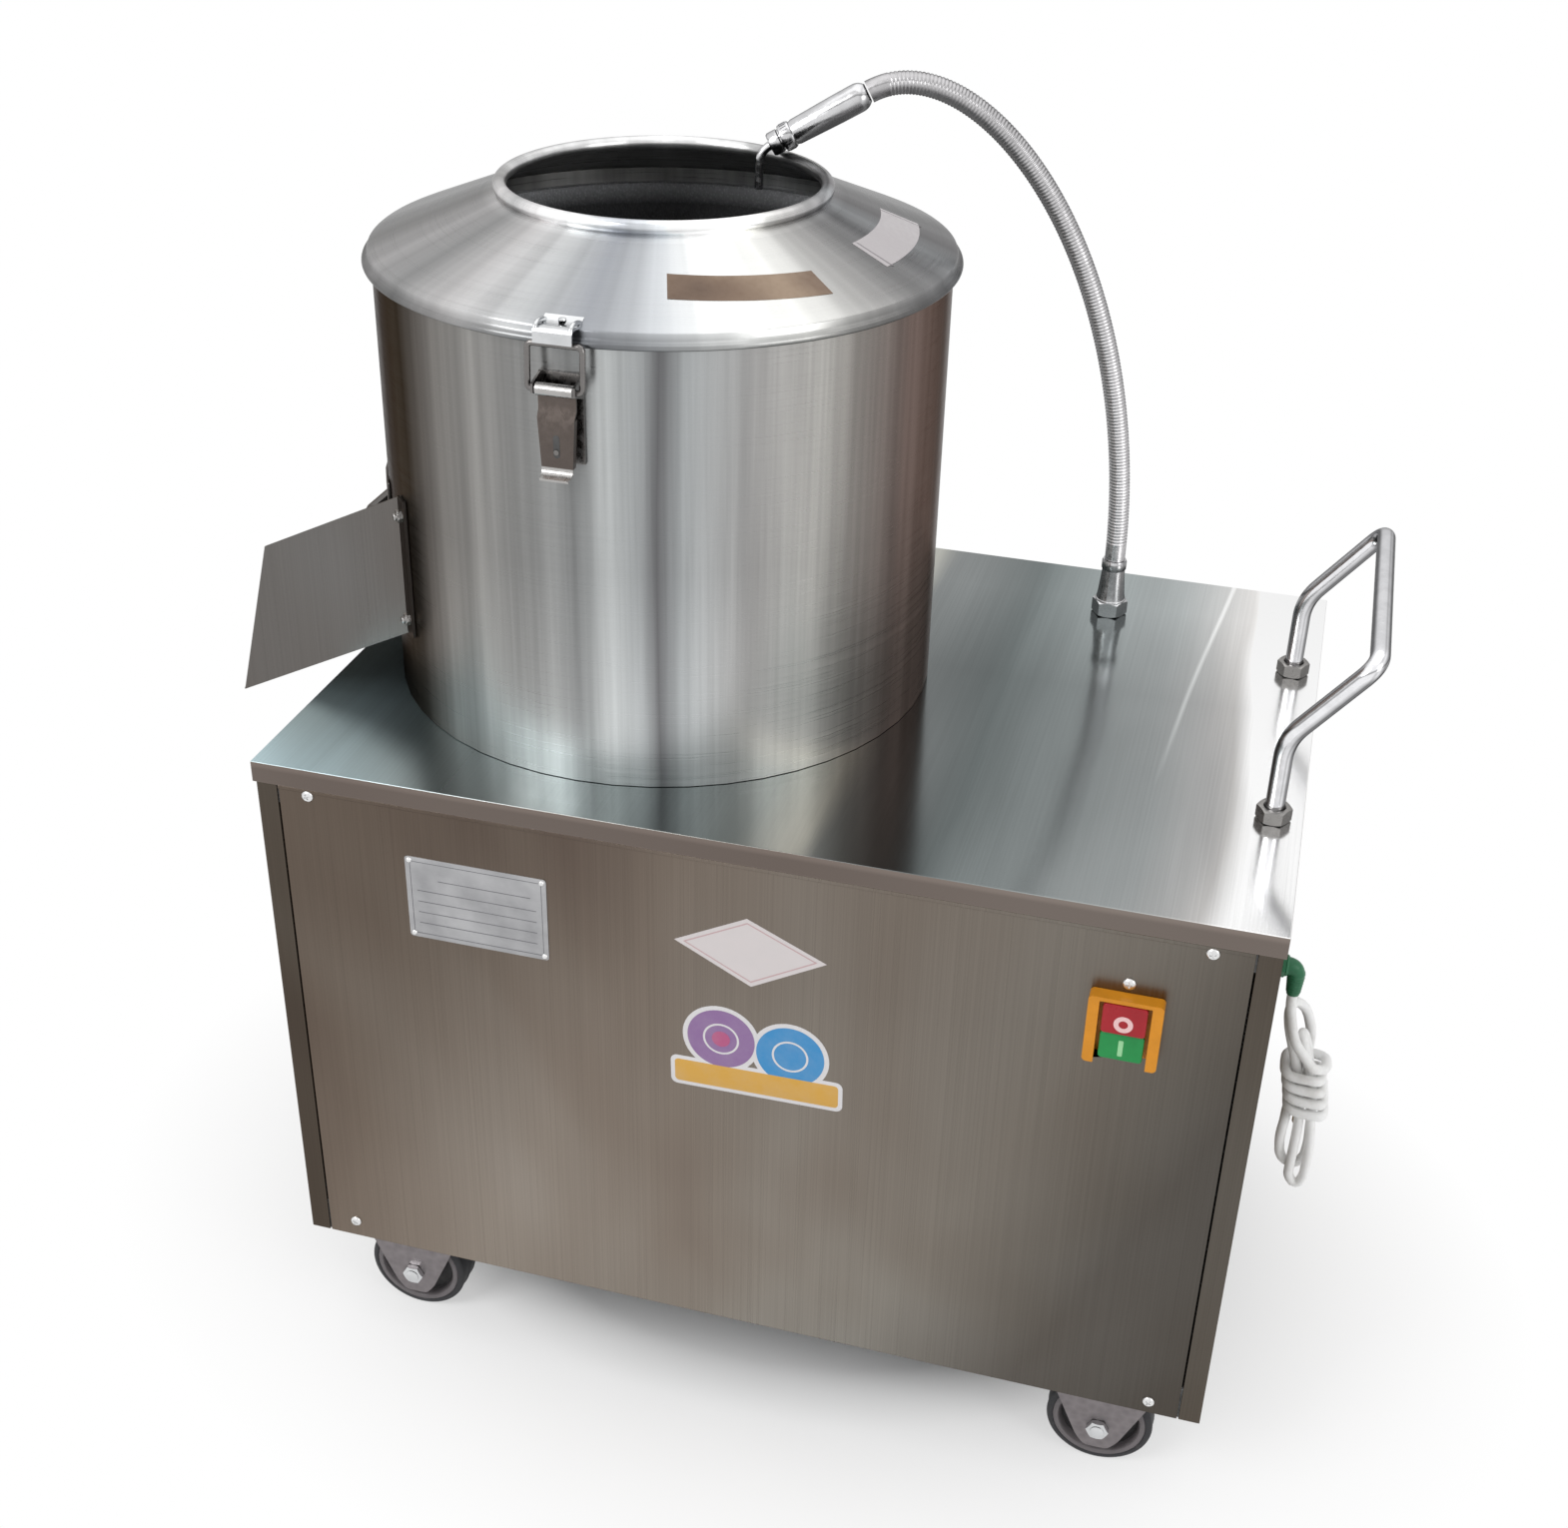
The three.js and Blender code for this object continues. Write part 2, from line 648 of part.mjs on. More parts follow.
function makeBarrel() {
  const r = BARREL_R;
  const wall = r - BARREL_WALL;
  const port = portCutter(BARREL_BASE + PORT_BOTTOM, BARREL_BASE + PORT_BOTTOM + PORT_H, PORT_W, r + OVERRUN);
  const shell = without(
    bar(r, BARREL_BASE, BARREL_TOP, BARREL_X, BARREL_Y, FINE),
    bar(wall, BARREL_BASE - OVERRUN, BARREL_TOP + OVERRUN, BARREL_X, BARREL_Y, FINE),
    port,
  );
  place('barrel_shell', shell, brushedSteel);

  const floorR = wall - GAP;
  const floor = without(
    bar(floorR, BARREL_BASE, BARREL_BASE + BARREL_FLOOR_T, BARREL_X, BARREL_Y, FINE),
    bar(HOUSING_R + GAP, BARREL_BASE - OVERRUN, BARREL_BASE + OVERRUN, BARREL_X, BARREL_Y),
    bar(DRAIN_R + GAP, BARREL_BASE - OVERRUN, BARREL_BASE + OVERRUN, ...drainPlace(), SMALL),
  );
  place('barrel_floor', floor, brushedSteel);

  const liner = without(
    bar(floorR, BARREL_BASE + LINER_BOTTOM, BARREL_TOP - LINER_TOP_DROP, BARREL_X, BARREL_Y, FINE),
    bar(floorR - LINER_T, BARREL_BASE, BARREL_TOP, BARREL_X, BARREL_Y, FINE),
    port,
  );
  place('barrel_liner', liner, grit);
}

// Lid

const MOUTH_STEPS = 5;
const MOUTH_OPEN_SHARE = 0.35;
function makeLid() {
  const skirtIn = BARREL_R + 2 * GAP;
  const skirtOut = skirtIn + LID_T;
  const rim = LID_RIM_R;
  const coneIn = LID_NECK_R - LID_T;
  const beadZ = BARREL_TOP + LID_MOUTH_UP - LID_MOUTH_BEAD_R;
  const beadR = LID_NECK_R - LID_MOUTH_BEAD_R;
  const cone = CONE_Z + LID_CONE_H;
  const mouth = Array.from({ length: MOUTH_STEPS + 1 }, (_, i) => {
    const a = (-MOUTH_OPEN_SHARE + (i / MOUTH_STEPS) * (1 + 2 * MOUTH_OPEN_SHARE)) * Math.PI;
    return [beadR + LID_MOUTH_BEAD_R * Math.cos(a), beadZ + LID_MOUTH_BEAD_R * Math.sin(a)];
  });
  const profile = [
    [skirtIn, SEAM_Z], [rim, SEAM_Z], [rim, SEAM_Z + LID_BEAD_H], [skirtOut, CONE_Z + LID_T],
    [LID_NECK_R, cone + LID_T], ...mouth, [coneIn, cone], [skirtIn - LID_T, CONE_Z], [skirtIn, CONE_Z - GAP],
    [skirtIn, SEAM_Z],
  ];
  place('lid', turned(profile, FINE), brushedSteel, BARREL_X, BARREL_Y);
}

// Places a mesh that was drawn as out, up and across, on the barrel wall at an angle round it.
function onBarrelWall(name, shape, material, degrees, out, z) {
  const a = THREE.MathUtils.degToRad(degrees);
  const outward = new THREE.Vector3(Math.cos(a), Math.sin(a), 0);
  const up = new THREE.Vector3(0, 0, 1);
  const mesh = place(name, shape, material);
  const basis = new THREE.Matrix4().makeBasis(outward, up, outward.clone().cross(up));
  mesh.quaternion.setFromRotationMatrix(basis);
  const r = BARREL_R + out;
  mesh.position.set(BARREL_X + r * outward.x, BARREL_Y + r * outward.y, z);
}

// The barrel as a cutter, in the out, up and across drawing whose zero lies at a radius and a height.
function wallCutter(r, zeroOut, height) {
  return solid(new THREE.CylinderGeometry(r, r, 2 * height, FINE).translate(-zeroOut, 0, 0));
}

function makeLatch(name, degrees) {
  const pivotR = BARREL_R + LATCH_PIVOT_OUT;
  const pivotZ = BARREL_BASE + LATCH_PIVOT_UP;
  const wall = -LATCH_PIVOT_OUT + GAP;
  const earIn = LATCH_W / 2 + GAP;
  const baseW = 2 * (earIn + LATCH_EAR_T);
  const ear = [
    [wall, -LATCH_EYE_R * 2], [LATCH_EYE_R, -LATCH_EYE_R / 2], [LATCH_EYE_R, LATCH_EYE_R],
    [wall, LATCH_BASE_RISE],
  ];
  const back = [
    [wall - LATCH_PLATE_T, -LATCH_BASE_DROP], [wall + LATCH_PLATE_T, -LATCH_BASE_DROP],
    [wall + LATCH_PLATE_T, LATCH_BASE_RISE], [wall - LATCH_PLATE_T, LATCH_BASE_RISE],
  ];
  const earAt = (z0) => prism(ear, z0, z0 + LATCH_EAR_T);
  const base = without(
    joined(
      slab(back, baseW), earAt(earIn), earAt(-earIn - LATCH_EAR_T),
      crossRod(LATCH_PIN_R, baseW, 0, 0, TINY),
    ),
    wallCutter(BARREL_R + GAP, pivotR, LATCH_LEVER_L * 2),
  );
  onBarrelWall(`${name}_latch_base`, base, chrome, degrees, LATCH_PIVOT_OUT, pivotZ);

  const t = LATCH_PLATE_T;
  const leverShape = [
    [-LATCH_FACE_IN - t, 0], [-LATCH_FACE_IN - t, -LATCH_JOG_START], [LATCH_FACE_OUT - t, -LATCH_JOG_END],
    [LATCH_FACE_OUT - t, -LATCH_LEVER_L], [LATCH_FACE_OUT + LATCH_LIP, -LATCH_LEVER_L - LATCH_LIP / 2],
    [LATCH_FACE_OUT + LATCH_LIP, -LATCH_LEVER_L - LATCH_LIP / 2 + t], [LATCH_FACE_OUT, -LATCH_LEVER_L + t],
    [LATCH_FACE_OUT, -LATCH_JOG_END], [-LATCH_FACE_IN, -LATCH_JOG_START], [-LATCH_FACE_IN, -LATCH_NOSE_DROP],
    [LATCH_NOSE_OUT, -LATCH_NOSE_DROP], [LATCH_EYE_R * EYE_SIDE_SHARE, -LATCH_EYE_R / 2],
    [LATCH_EYE_R / 2, 0],
  ];
  const lever = without(
    joined(slab(leverShape, LATCH_W), crossRod(LATCH_EYE_R, LATCH_W)),
    crossRod(LATCH_PIN_R + GAP, LATCH_W + OVERRUN),
  );
  onBarrelWall(`${name}_latch_lever`, lever, chrome, degrees, LATCH_PIVOT_OUT, pivotZ);

  const eye = new THREE.Vector2(-BAIL_EYE_BACK, BAIL_EYE_UP);
  const hook = new THREE.Vector2(BAIL_BAR_OUT, -BAIL_BAR_DOWN);
  const length = eye.distanceTo(hook);
  const lean = Math.atan2(hook.x - eye.x, eye.y - hook.y);
  const bail = wireFrame(BAIL_W, length, BAIL_BEND_R, BAIL_WIRE_R).rotateZ(lean);
  onBarrelWall(`${name}_latch_bail`, bail, chrome, degrees, LATCH_PIVOT_OUT + eye.x, pivotZ + eye.y);

  const eyeR = BARREL_R + LATCH_PIVOT_OUT + eye.x;
  const eyeZ = pivotZ + eye.y;
  const coneRise = (LID_CONE_H) / (BARREL_R + 2 * GAP + LID_T - LID_NECK_R);
  const coneUp = (r) => CONE_Z + LID_T + GAP + (BARREL_R + 2 * GAP + LID_T - r) * coneRise - eyeZ;
  const rimOut = LID_RIM_R + GAP - eyeR;
  const footOut = rimOut - KEEPER_FOOT;
  const shoulder = coneUp(eyeR + rimOut) + GAP;
  const ring = BAIL_WIRE_R + GAP + KEEPER_T;
  const keeperShape = [
    [footOut, coneUp(eyeR + footOut)], [rimOut, coneUp(eyeR + rimOut)], [-BAIL_WIRE_R, ring * EYE_SIDE_SHARE],
    [0, 0], [ring, 0], [ring, shoulder], [rimOut, shoulder + KEEPER_T],
    [footOut, coneUp(eyeR + footOut) + KEEPER_T],
  ];
  const keeper = without(
    joined(slab(keeperShape, KEEPER_W), crossRod(ring, KEEPER_W)),
    crossRod(BAIL_WIRE_R + GAP, KEEPER_W + OVERRUN),
    lidRimCutter(eyeR, eyeZ),
  );
  onBarrelWall(`${name}_latch_keeper`, keeper, chrome, degrees, LATCH_PIVOT_OUT + eye.x, eyeZ);
}
const EYE_SIDE_SHARE = 0.85;

// The lid's rim and cone, grown by the gap, in the drawing of a latch.
function lidRimCutter(zeroR, zeroZ) {
  const slopeR = BARREL_R + 2 * GAP + LID_T;
  const g = turned([
    [0, SEAM_Z - OVERRUN], [LID_RIM_R + GAP, SEAM_Z - OVERRUN], [LID_RIM_R + GAP, SEAM_Z + LID_BEAD_H + GAP],
    [slopeR + GAP, CONE_Z + LID_T + GAP], [LID_NECK_R, CONE_Z + LID_CONE_H + LID_T + GAP],
    [0, CONE_Z + LID_CONE_H + LID_T + GAP],
  ], FINE);
  return solid(geometryOf(g).translate(0, 0, -zeroZ).rotateX(-Math.PI / 2).translate(-zeroR, 0, 0));
}

// A closed frame of round wire with rounded corners: one bar along the across axis through zero, and one
// below it.
function wireFrame(width, height, bend, r) {
  const half = width / 2;
  const corners = [[half, 0], [-half, 0], [-half, -height], [half, -height]];
  const rings = [];
  const steps = 3;
  for (const [quarter, [z, y]] of corners.entries()) {
    const cz = z - Math.sign(z) * bend;
    const cy = y + (y === 0 ? -bend : bend);
    for (let i = 0; i <= steps; i++) {
      const a = ((quarter + i / steps) * Math.PI) / 2;
      const dir = new THREE.Vector3(0, Math.sin(a), Math.cos(a));
      const centre = new THREE.Vector3(0, cy, cz).addScaledVector(dir, bend);
      rings.push(ringAt(centre, dir, new THREE.Vector3(1, 0, 0), r, 6));
    }
  }
  return meshFromRings(rings, true);
}

// Chute and discharge door

function makeChute() {
  const z0 = BARREL_BASE + CHUTE_FLOOR_AT_WALL;
  const halfW = CHUTE_W / 2;
  const rootX = -Math.sqrt((BARREL_R + GAP) ** 2 - halfW ** 2);
  const tipX = -HALF_W - CHUTE_PAST_EDGE - BARREL_X;
  const slope = CHUTE_FALL / (rootX - tipX);
  const inX = rootX + CHUTE_FLANGE * 2;
  const floorAt = (x) => z0 - (rootX - x) * slope;
  const topTipX = tipX + CHUTE_TIP_RAKE;
  const wallOutline = [
    [inX, floorAt(inX)], [inX, z0 + CHUTE_WALL_H + (inX - rootX) * slope],
    [topTipX, z0 + CHUTE_WALL_H - CHUTE_TOP_FALL], [tipX, floorAt(tipX)],
  ];
  const floorOutline = [
    [inX, floorAt(inX)], [inX, floorAt(inX) + CHUTE_T],
    [tipX, floorAt(tipX) + CHUTE_T], [tipX, floorAt(tipX)],
  ];
  // Drawn in x and z, then stood up across y.
  const across = (outline, y0, y1) => {
    const cut = { depth: y1 - y0, bevelEnabled: false };
    return solid(new THREE.ExtrudeGeometry(outlineOf(outline), cut).rotateX(Math.PI / 2).translate(0, y1, 0));
  };
  const flange = (side) => {
    const hold = Math.atan2(halfW, -rootX);
    const spread = CHUTE_FLANGE / BARREL_R;
    const steps = 3;
    const arc = (r) => Array.from({ length: steps + 1 }, (_, i) => {
      const a = Math.PI - side * (hold - CHUTE_T / BARREL_R + (i / steps) * spread);
      return [r * Math.cos(a), r * Math.sin(a)];
    });
    const outer = BARREL_R + GAP * 2 + CHUTE_T;
    return prism([...arc(BARREL_R), ...arc(outer).reverse()], z0, z0 + CHUTE_WALL_H);
  };
  const chute = without(
    joined(
      across(wallOutline, halfW - CHUTE_T, halfW), across(wallOutline, -halfW, -halfW + CHUTE_T),
      across(floorOutline, -halfW, halfW), flange(1), flange(-1),
    ),
    bar(BARREL_R + GAP, BARREL_BASE, BARREL_TOP, 0, 0, FINE),
  );
  place('chute', chute, darkSteel, BARREL_X, BARREL_Y);
}

function makeDoor() {
  const low = BARREL_BASE + PORT_BOTTOM - DOOR_LAP;
  const high = BARREL_BASE + PORT_BOTTOM + PORT_H + DOOR_LAP;
  const pinZ = high + DOOR_HINGE_UP;
  const pinOut = BARREL_R + DOOR_HINGE_OUT;
  const inner = BARREL_R + GAP;
  const outer = inner + DOOR_T;
  const width = PORT_W + 2 * DOOR_LAP;
  const ringOf = (r0, r1, z0, z1) => without(
    bar(r1, z0, z1, 0, 0, FINE), bar(r0, z0 - OVERRUN, z1 + OVERRUN, 0, 0, FINE),
  );
  const slice = (w, z0, z1) => block(-outer * 2, -w / 2, z0, 0, w / 2, z1);
  const leaf = ringOf(inner, outer, low, high).intersect(slice(width, low, high));
  const knuckle = solid(new THREE.CylinderGeometry(DOOR_KNUCKLE_R, DOOR_KNUCKLE_R, DOOR_KNUCKLE_W, SMALL)
    .translate(-pinOut, 0, pinZ));
  const web = block(-pinOut, -DOOR_KNUCKLE_W / 2, high - DOOR_LAP, -pinOut + DOOR_T, DOOR_KNUCKLE_W / 2, pinZ);
  const link = block(
    -pinOut, -DOOR_KNUCKLE_W / 2, high - DOOR_LAP, -inner, DOOR_KNUCKLE_W / 2, high - DOOR_LAP + DOOR_T,
  );
  const pullZ = low + PORT_H / 2;
  const pull = solid(rodAlong(bentLine([
    new THREE.Vector3(-outer + DOOR_PULL_R * 2, -DOOR_PULL_W / 2, pullZ),
    new THREE.Vector3(-outer - DOOR_PULL_OUT, -DOOR_PULL_W / 2, pullZ),
    new THREE.Vector3(-outer - DOOR_PULL_OUT, DOOR_PULL_W / 2, pullZ),
    new THREE.Vector3(-outer + DOOR_PULL_R * 2, DOOR_PULL_W / 2, pullZ),
  ], DOOR_PULL_R * 2), DOOR_PULL_R, 8));
  const bore = solid(new THREE.CylinderGeometry(DOOR_PIN_R + GAP, DOOR_PIN_R + GAP, DOOR_KNUCKLE_W + 2 * OVERRUN, SMALL)
    .translate(-pinOut, 0, pinZ));
  const door = without(
    joined(
      leaf, knuckle, web, link,
      pull.subtract(bar(inner + DOOR_T / 2, low - OVERRUN, high + OVERRUN, 0, 0, FINE)),
    ),
    bore, bar(inner, low - OVERRUN, high + 4 * OVERRUN, 0, 0, FINE),
  );
  place('discharge_door', door, darkSteel, BARREL_X, BARREL_Y);

  const earIn = DOOR_KNUCKLE_W / 2 + GAP;
  const earOut = earIn + HINGE_EAR_T;
  const earShape = (y0) => block(
    -pinOut - DOOR_KNUCKLE_R, y0, pinZ - DOOR_KNUCKLE_R,
    -BARREL_R, y0 + HINGE_EAR_T, pinZ + DOOR_KNUCKLE_R * 3,
  );
  const bridge = block(
    -inner - DOOR_T, -earOut, pinZ + DOOR_KNUCKLE_R + DOOR_T,
    -BARREL_R + HINGE_EAR_T, earOut, pinZ + DOOR_KNUCKLE_R * 3,
  );
  const pin = solid(new THREE.CylinderGeometry(DOOR_PIN_R, DOOR_PIN_R, 2 * earOut, TINY).translate(-pinOut, 0, pinZ));
  const hinge = without(
    joined(earShape(earIn), earShape(-earOut), bridge, pin),
    bar(inner, low, high + 8 * OVERRUN, 0, 0, FINE),
  );
  place('door_hinge', hinge, zinc, BARREL_X, BARREL_Y);
}

// Peeling disc, shaft and bearings

function makeDisc() {
  const top = BARREL_BASE + DISC_TOP;
  const under = top - DISC_T;
  const waves = Array.from({ length: DISC_WAVES }, (_, i) => {
    const a = (i / DISC_WAVES) * Math.PI * 2;
    const from = DISC_HUB_R * EYE_SIDE_SHARE;
    const to = DISC_R - DISC_WAVE_H;
    const crest = [
      [-DISC_WAVE_W / 2, -DISC_T / 2], [DISC_WAVE_W / 2, -DISC_T / 2],
      [DISC_WAVE_W / 6, DISC_WAVE_H], [-DISC_WAVE_W / 6, DISC_WAVE_H],
    ];
    const g = new THREE.ExtrudeGeometry(outlineOf(crest), { depth: to - from, bevelEnabled: false });
    return solid(g.translate(0, 0, from).rotateX(Math.PI / 2).rotateZ(a).translate(0, 0, top));
  });
  const sweeps = [0, 1].map((i) => {
    const blade = geometryOf(block(
      HOUSING_R + DISC_SWEEP_T, -DISC_SWEEP_T / 2, under - DISC_SWEEP_H,
      DISC_R - DISC_SWEEP_T, DISC_SWEEP_T / 2, under + DISC_T / 2,
    ));
    return solid(blade.rotateZ(i * Math.PI));
  });
  const hub = bar(DISC_HUB_R, under - DISC_SWEEP_T, top + DISC_WAVE_H + SHEET);
  const disc = without(
    joined(bar(DISC_R, under, top, 0, 0, FINE), hub, ...waves, ...sweeps),
    bar(SHAFT_R + GAP, under - DISC_SWEEP_H - OVERRUN, top - DISC_T / 2),
    bar(SHAFT_R * SHAFT_NECK_SHARE + GAP, under, top + DISC_WAVE_H + 2 * OVERRUN, 0, 0, SMALL),
  );
  place('peeling_disc', disc, grit, BARREL_X, BARREL_Y);

  const neckTop = top + DISC_WAVE_H + SHEET;
  const shaft = turned([
    [0, PULLEY_Z - BIG_PULLEY_W], [SHAFT_R, PULLEY_Z - BIG_PULLEY_W], [SHAFT_R, top - DISC_T / 2 - GAP],
    [SHAFT_R * SHAFT_NECK_SHARE, top - DISC_T / 2 - GAP], [SHAFT_R * SHAFT_NECK_SHARE, neckTop + SHAFT_NUT_H + GAP],
    [0, neckTop + SHAFT_NUT_H + GAP],
  ], SMALL);
  place('main_shaft', shaft, zinc, BARREL_X, BARREL_Y);

  const nut = without(
    bar(SHAFT_NUT_R, neckTop + GAP, neckTop + SHAFT_NUT_H, 0, 0, 6),
    bar(SHAFT_R * SHAFT_NECK_SHARE + GAP, neckTop - OVERRUN, neckTop + SHAFT_NUT_H + OVERRUN, 0, 0, SMALL),
  );
  place('disc_nut', nut, chrome, BARREL_X, BARREL_Y);
}
const SHAFT_NECK_SHARE = 0.6;

function makeBearings() {
  const flangeTop = DRIVE_PLATE_Z - GAP;
  const flangeLow = flangeTop - HOUSING_FLANGE_T;
  const low = flangeTop - HOUSING_DOWN;
  const high = BARREL_BASE + HOUSING_UP;
  const pocket = BEARING_R + GAP;
  const throat = BEARING_R - HOUSING_LIP;
  const lowSeat = low + BEARING_W + 2 * GAP;
  const highSeat = high - BEARING_W - 2 * GAP;
  place('bearing_housing', turned([
    [pocket, low], [HOUSING_R, low], [HOUSING_R, flangeLow], [HOUSING_FLANGE_R, flangeLow],
    [HOUSING_FLANGE_R, flangeTop], [HOUSING_R, flangeTop], [HOUSING_R, high], [pocket, high], [pocket, highSeat],
    [throat, highSeat], [throat, lowSeat], [pocket, lowSeat], [pocket, low],
  ]), castIron, BARREL_X, BARREL_Y);
  const race = (z0) => turned([
    [SHAFT_R + GAP, z0], [BEARING_R, z0], [BEARING_R, z0 + BEARING_W],
    [SHAFT_R + GAP, z0 + BEARING_W], [SHAFT_R + GAP, z0],
  ]);
  place('lower_bearing', race(low + GAP), chrome, BARREL_X, BARREL_Y);
  place('upper_bearing', race(highSeat + GAP), chrome, BARREL_X, BARREL_Y);
}

// Belt drive. A pulley's groove is the belt's section plus the gap.

function pulleyProfile(r, width, bore, hubR, hubUp) {
  const floor = r - BELT_T - 4 * GAP;
  const mouth = BELT_W / 2 + GAP;
  const root = BELT_W / 2 - BELT_TAPER + GAP;
  const web = BIG_PULLEY_WEB / 2;
  const rim = floor - BELT_T;
  const half = width / 2;
  const dished = rim > hubR + BELT_T;
  const lower = dished ? [[hubR, -half], [hubR, -web], [rim, -web], [rim, -half]] : [];
  const upper = dished
    ? [[rim, half], [rim, web], [hubR, web], [hubR, half + hubUp]]
    : [[hubR, half], [hubR, half + hubUp]];
  return [
    [bore, -half], ...lower, [r, -half], [r, -mouth], [floor, -root], [floor, root], [r, mouth], [r, half],
    ...upper, [bore, half + hubUp], [bore, -half],
  ];
}

function makeBeltDrive() {
  place('large_pulley', turned(pulleyProfile(BIG_PULLEY_R, BIG_PULLEY_W, SHAFT_R + GAP, PULLEY_HUB_R, BELT_T), ROUND),
    castIron, BARREL_X, BARREL_Y, PULLEY_Z);

  const shaftTop = PULLEY_Z + BIG_PULLEY_W / 2 + MOTOR_CLEAR - GAP;
  const pulleyLow = PULLEY_Z - BIG_PULLEY_W / 2;
  const small = joined(
    turned(pulleyProfile(
      SMALL_PULLEY_R, BIG_PULLEY_W, MOTOR_SHAFT_R * EYE_SIDE_SHARE, SMALL_PULLEY_R - BELT_T * 2, 0,
    )),
    bar(MOTOR_SHAFT_R, pulleyLow - PULLEY_Z, shaftTop - PULLEY_Z, 0, 0, SMALL),
  );
  place('motor_pulley', small, castIron, MOTOR_X, BARREL_Y, PULLEY_Z);
  place('drive_belt', beltLoop(), blackRubber, 0, 0, PULLEY_Z);
}

const BELT_STEPS = 28;
function beltLoop() {
  const span = MOTOR_X - BARREL_X;
  const bigR = BIG_PULLEY_R - BELT_T - GAP;
  const smallR = SMALL_PULLEY_R - BELT_T - GAP;
  const open = Math.acos((bigR - smallR) / span);
  const spine = [];
  const arc = (cx, r, from, to, steps) => {
    for (let i = 0; i <= steps; i++) {
      const a = from + ((to - from) * i) / steps;
      spine.push({ x: cx + r * Math.cos(a), y: BARREL_Y + r * Math.sin(a), nx: Math.cos(a), ny: Math.sin(a) });
    }
  };
  arc(BARREL_X, bigR, open, 2 * Math.PI - open, BELT_STEPS);
  arc(MOTOR_X, smallR, -open, open, BELT_STEPS / 4);
  const wide = BELT_W / 2;
  const narrow = BELT_W / 2 - BELT_TAPER;
  const section = [[0, -narrow], [BELT_T, -wide], [BELT_T, wide], [0, narrow]];
  const ringOf = ({ x, y, nx, ny }) => section.map(([o, z]) => new THREE.Vector3(x + nx * o, y + ny * o, z));
  const rings = spine.map(ringOf);
  return meshFromRings(rings, true);
}

function makeMotor() {
  const low = PULLEY_Z + BIG_PULLEY_W / 2 + MOTOR_CLEAR;
  const high = low + MOTOR_BODY_H;
  const footOut = MOTOR_R + MOTOR_FOOT_T;
  const body = turned([
    [0, low + SHEET], [MOTOR_R * END_BELL_SHARE, low], [MOTOR_R, low + MOTOR_FOOT_T], [MOTOR_R, high - MOTOR_FOOT_T],
    [MOTOR_R * END_BELL_SHARE, high], [0, high],
  ]);
  const foot = block(
    0, -MOTOR_FOOT_W / 2, low + MOTOR_BODY_H / 4, footOut, MOTOR_FOOT_W / 2, high - MOTOR_BODY_H / 4,
  );
  const box = block(-MOTOR_BOX_W / 2, MOTOR_R - MOTOR_FOOT_T, low + MOTOR_BODY_H / 3,
    MOTOR_BOX_W / 2, MOTOR_R + MOTOR_BOX_T, low + MOTOR_BODY_H / 3 + MOTOR_BOX_W);
  place('motor', joined(body, foot, box), motorPaint, MOTOR_X, BARREL_Y);

  const face = footOut + GAP;
  const hang = DRIVE_PLATE_Z - GAP;
  const bracket = joined(
    block(face, -BRACKET_W / 2, low + MOTOR_BODY_H / 5, face + BRACKET_T, BRACKET_W / 2, hang),
    block(face, -BRACKET_W / 2, hang - BRACKET_T, face + BRACKET_W / 2, BRACKET_W / 2, hang),
  );
  place('motor_bracket', bracket, zinc, MOTOR_X, BARREL_Y);
}
const END_BELL_SHARE = 0.8;

// Drain

function drainPlace() {
  const a = THREE.MathUtils.degToRad(DRAIN_ANGLE);
  return [BARREL_X + DRAIN_FROM_AXIS * Math.cos(a), BARREL_Y + DRAIN_FROM_AXIS * Math.sin(a)];
}
function drainExitZ() {
  return TOP - DRAIN_DROP;
}

function makeDrain() {
  const [x, y] = drainPlace();
  const exit = drainExitZ();
  const line = bentLine([
    new THREE.Vector3(x, y, BARREL_BASE + BARREL_FLOOR_T),
    new THREE.Vector3(x, y, exit),
    new THREE.Vector3(x, HALF_D + DRAIN_OUT, exit),
  ], DRAIN_BEND);
  place('drain_pipe', rodAlong(line, DRAIN_R, SMALL, DRAIN_R - DRAIN_WALL), brushedSteel);
}

// Water gooseneck

const hoseTurn = THREE.MathUtils.degToRad(HOSE_HEADING_ANGLE);
const hoseHeading = new THREE.Vector3(Math.cos(hoseTurn), Math.sin(hoseTurn), 0);
const hoseBase = new THREE.Vector3(HOSE_BASE_X, HOSE_BASE_Y, TOP);
const hoseFoot = GAP + FITTING_NUT_H + FITTING_CONE_H;
const hoseAt = (out, up) => hoseBase.clone().addScaledVector(hoseHeading, out).add(new THREE.Vector3(0, 0, up));
const hoseDown = THREE.MathUtils.degToRad(HOSE_END_ANGLE);
const hoseEndDir = hoseHeading.clone().multiplyScalar(Math.cos(hoseDown))
  .add(new THREE.Vector3(0, 0, -Math.sin(hoseDown)));

function hoseCurve() {
  const start = hoseAt(0, hoseFoot + GAP);
  const end = hoseAt(HOSE_END_OUT, HOSE_END_UP);
  return new THREE.CubicBezierCurve3(
    start, start.clone().add(new THREE.Vector3(0, 0, HOSE_RISE)),
    end.clone().addScaledVector(hoseEndDir, -HOSE_BOW), end,
  );
}

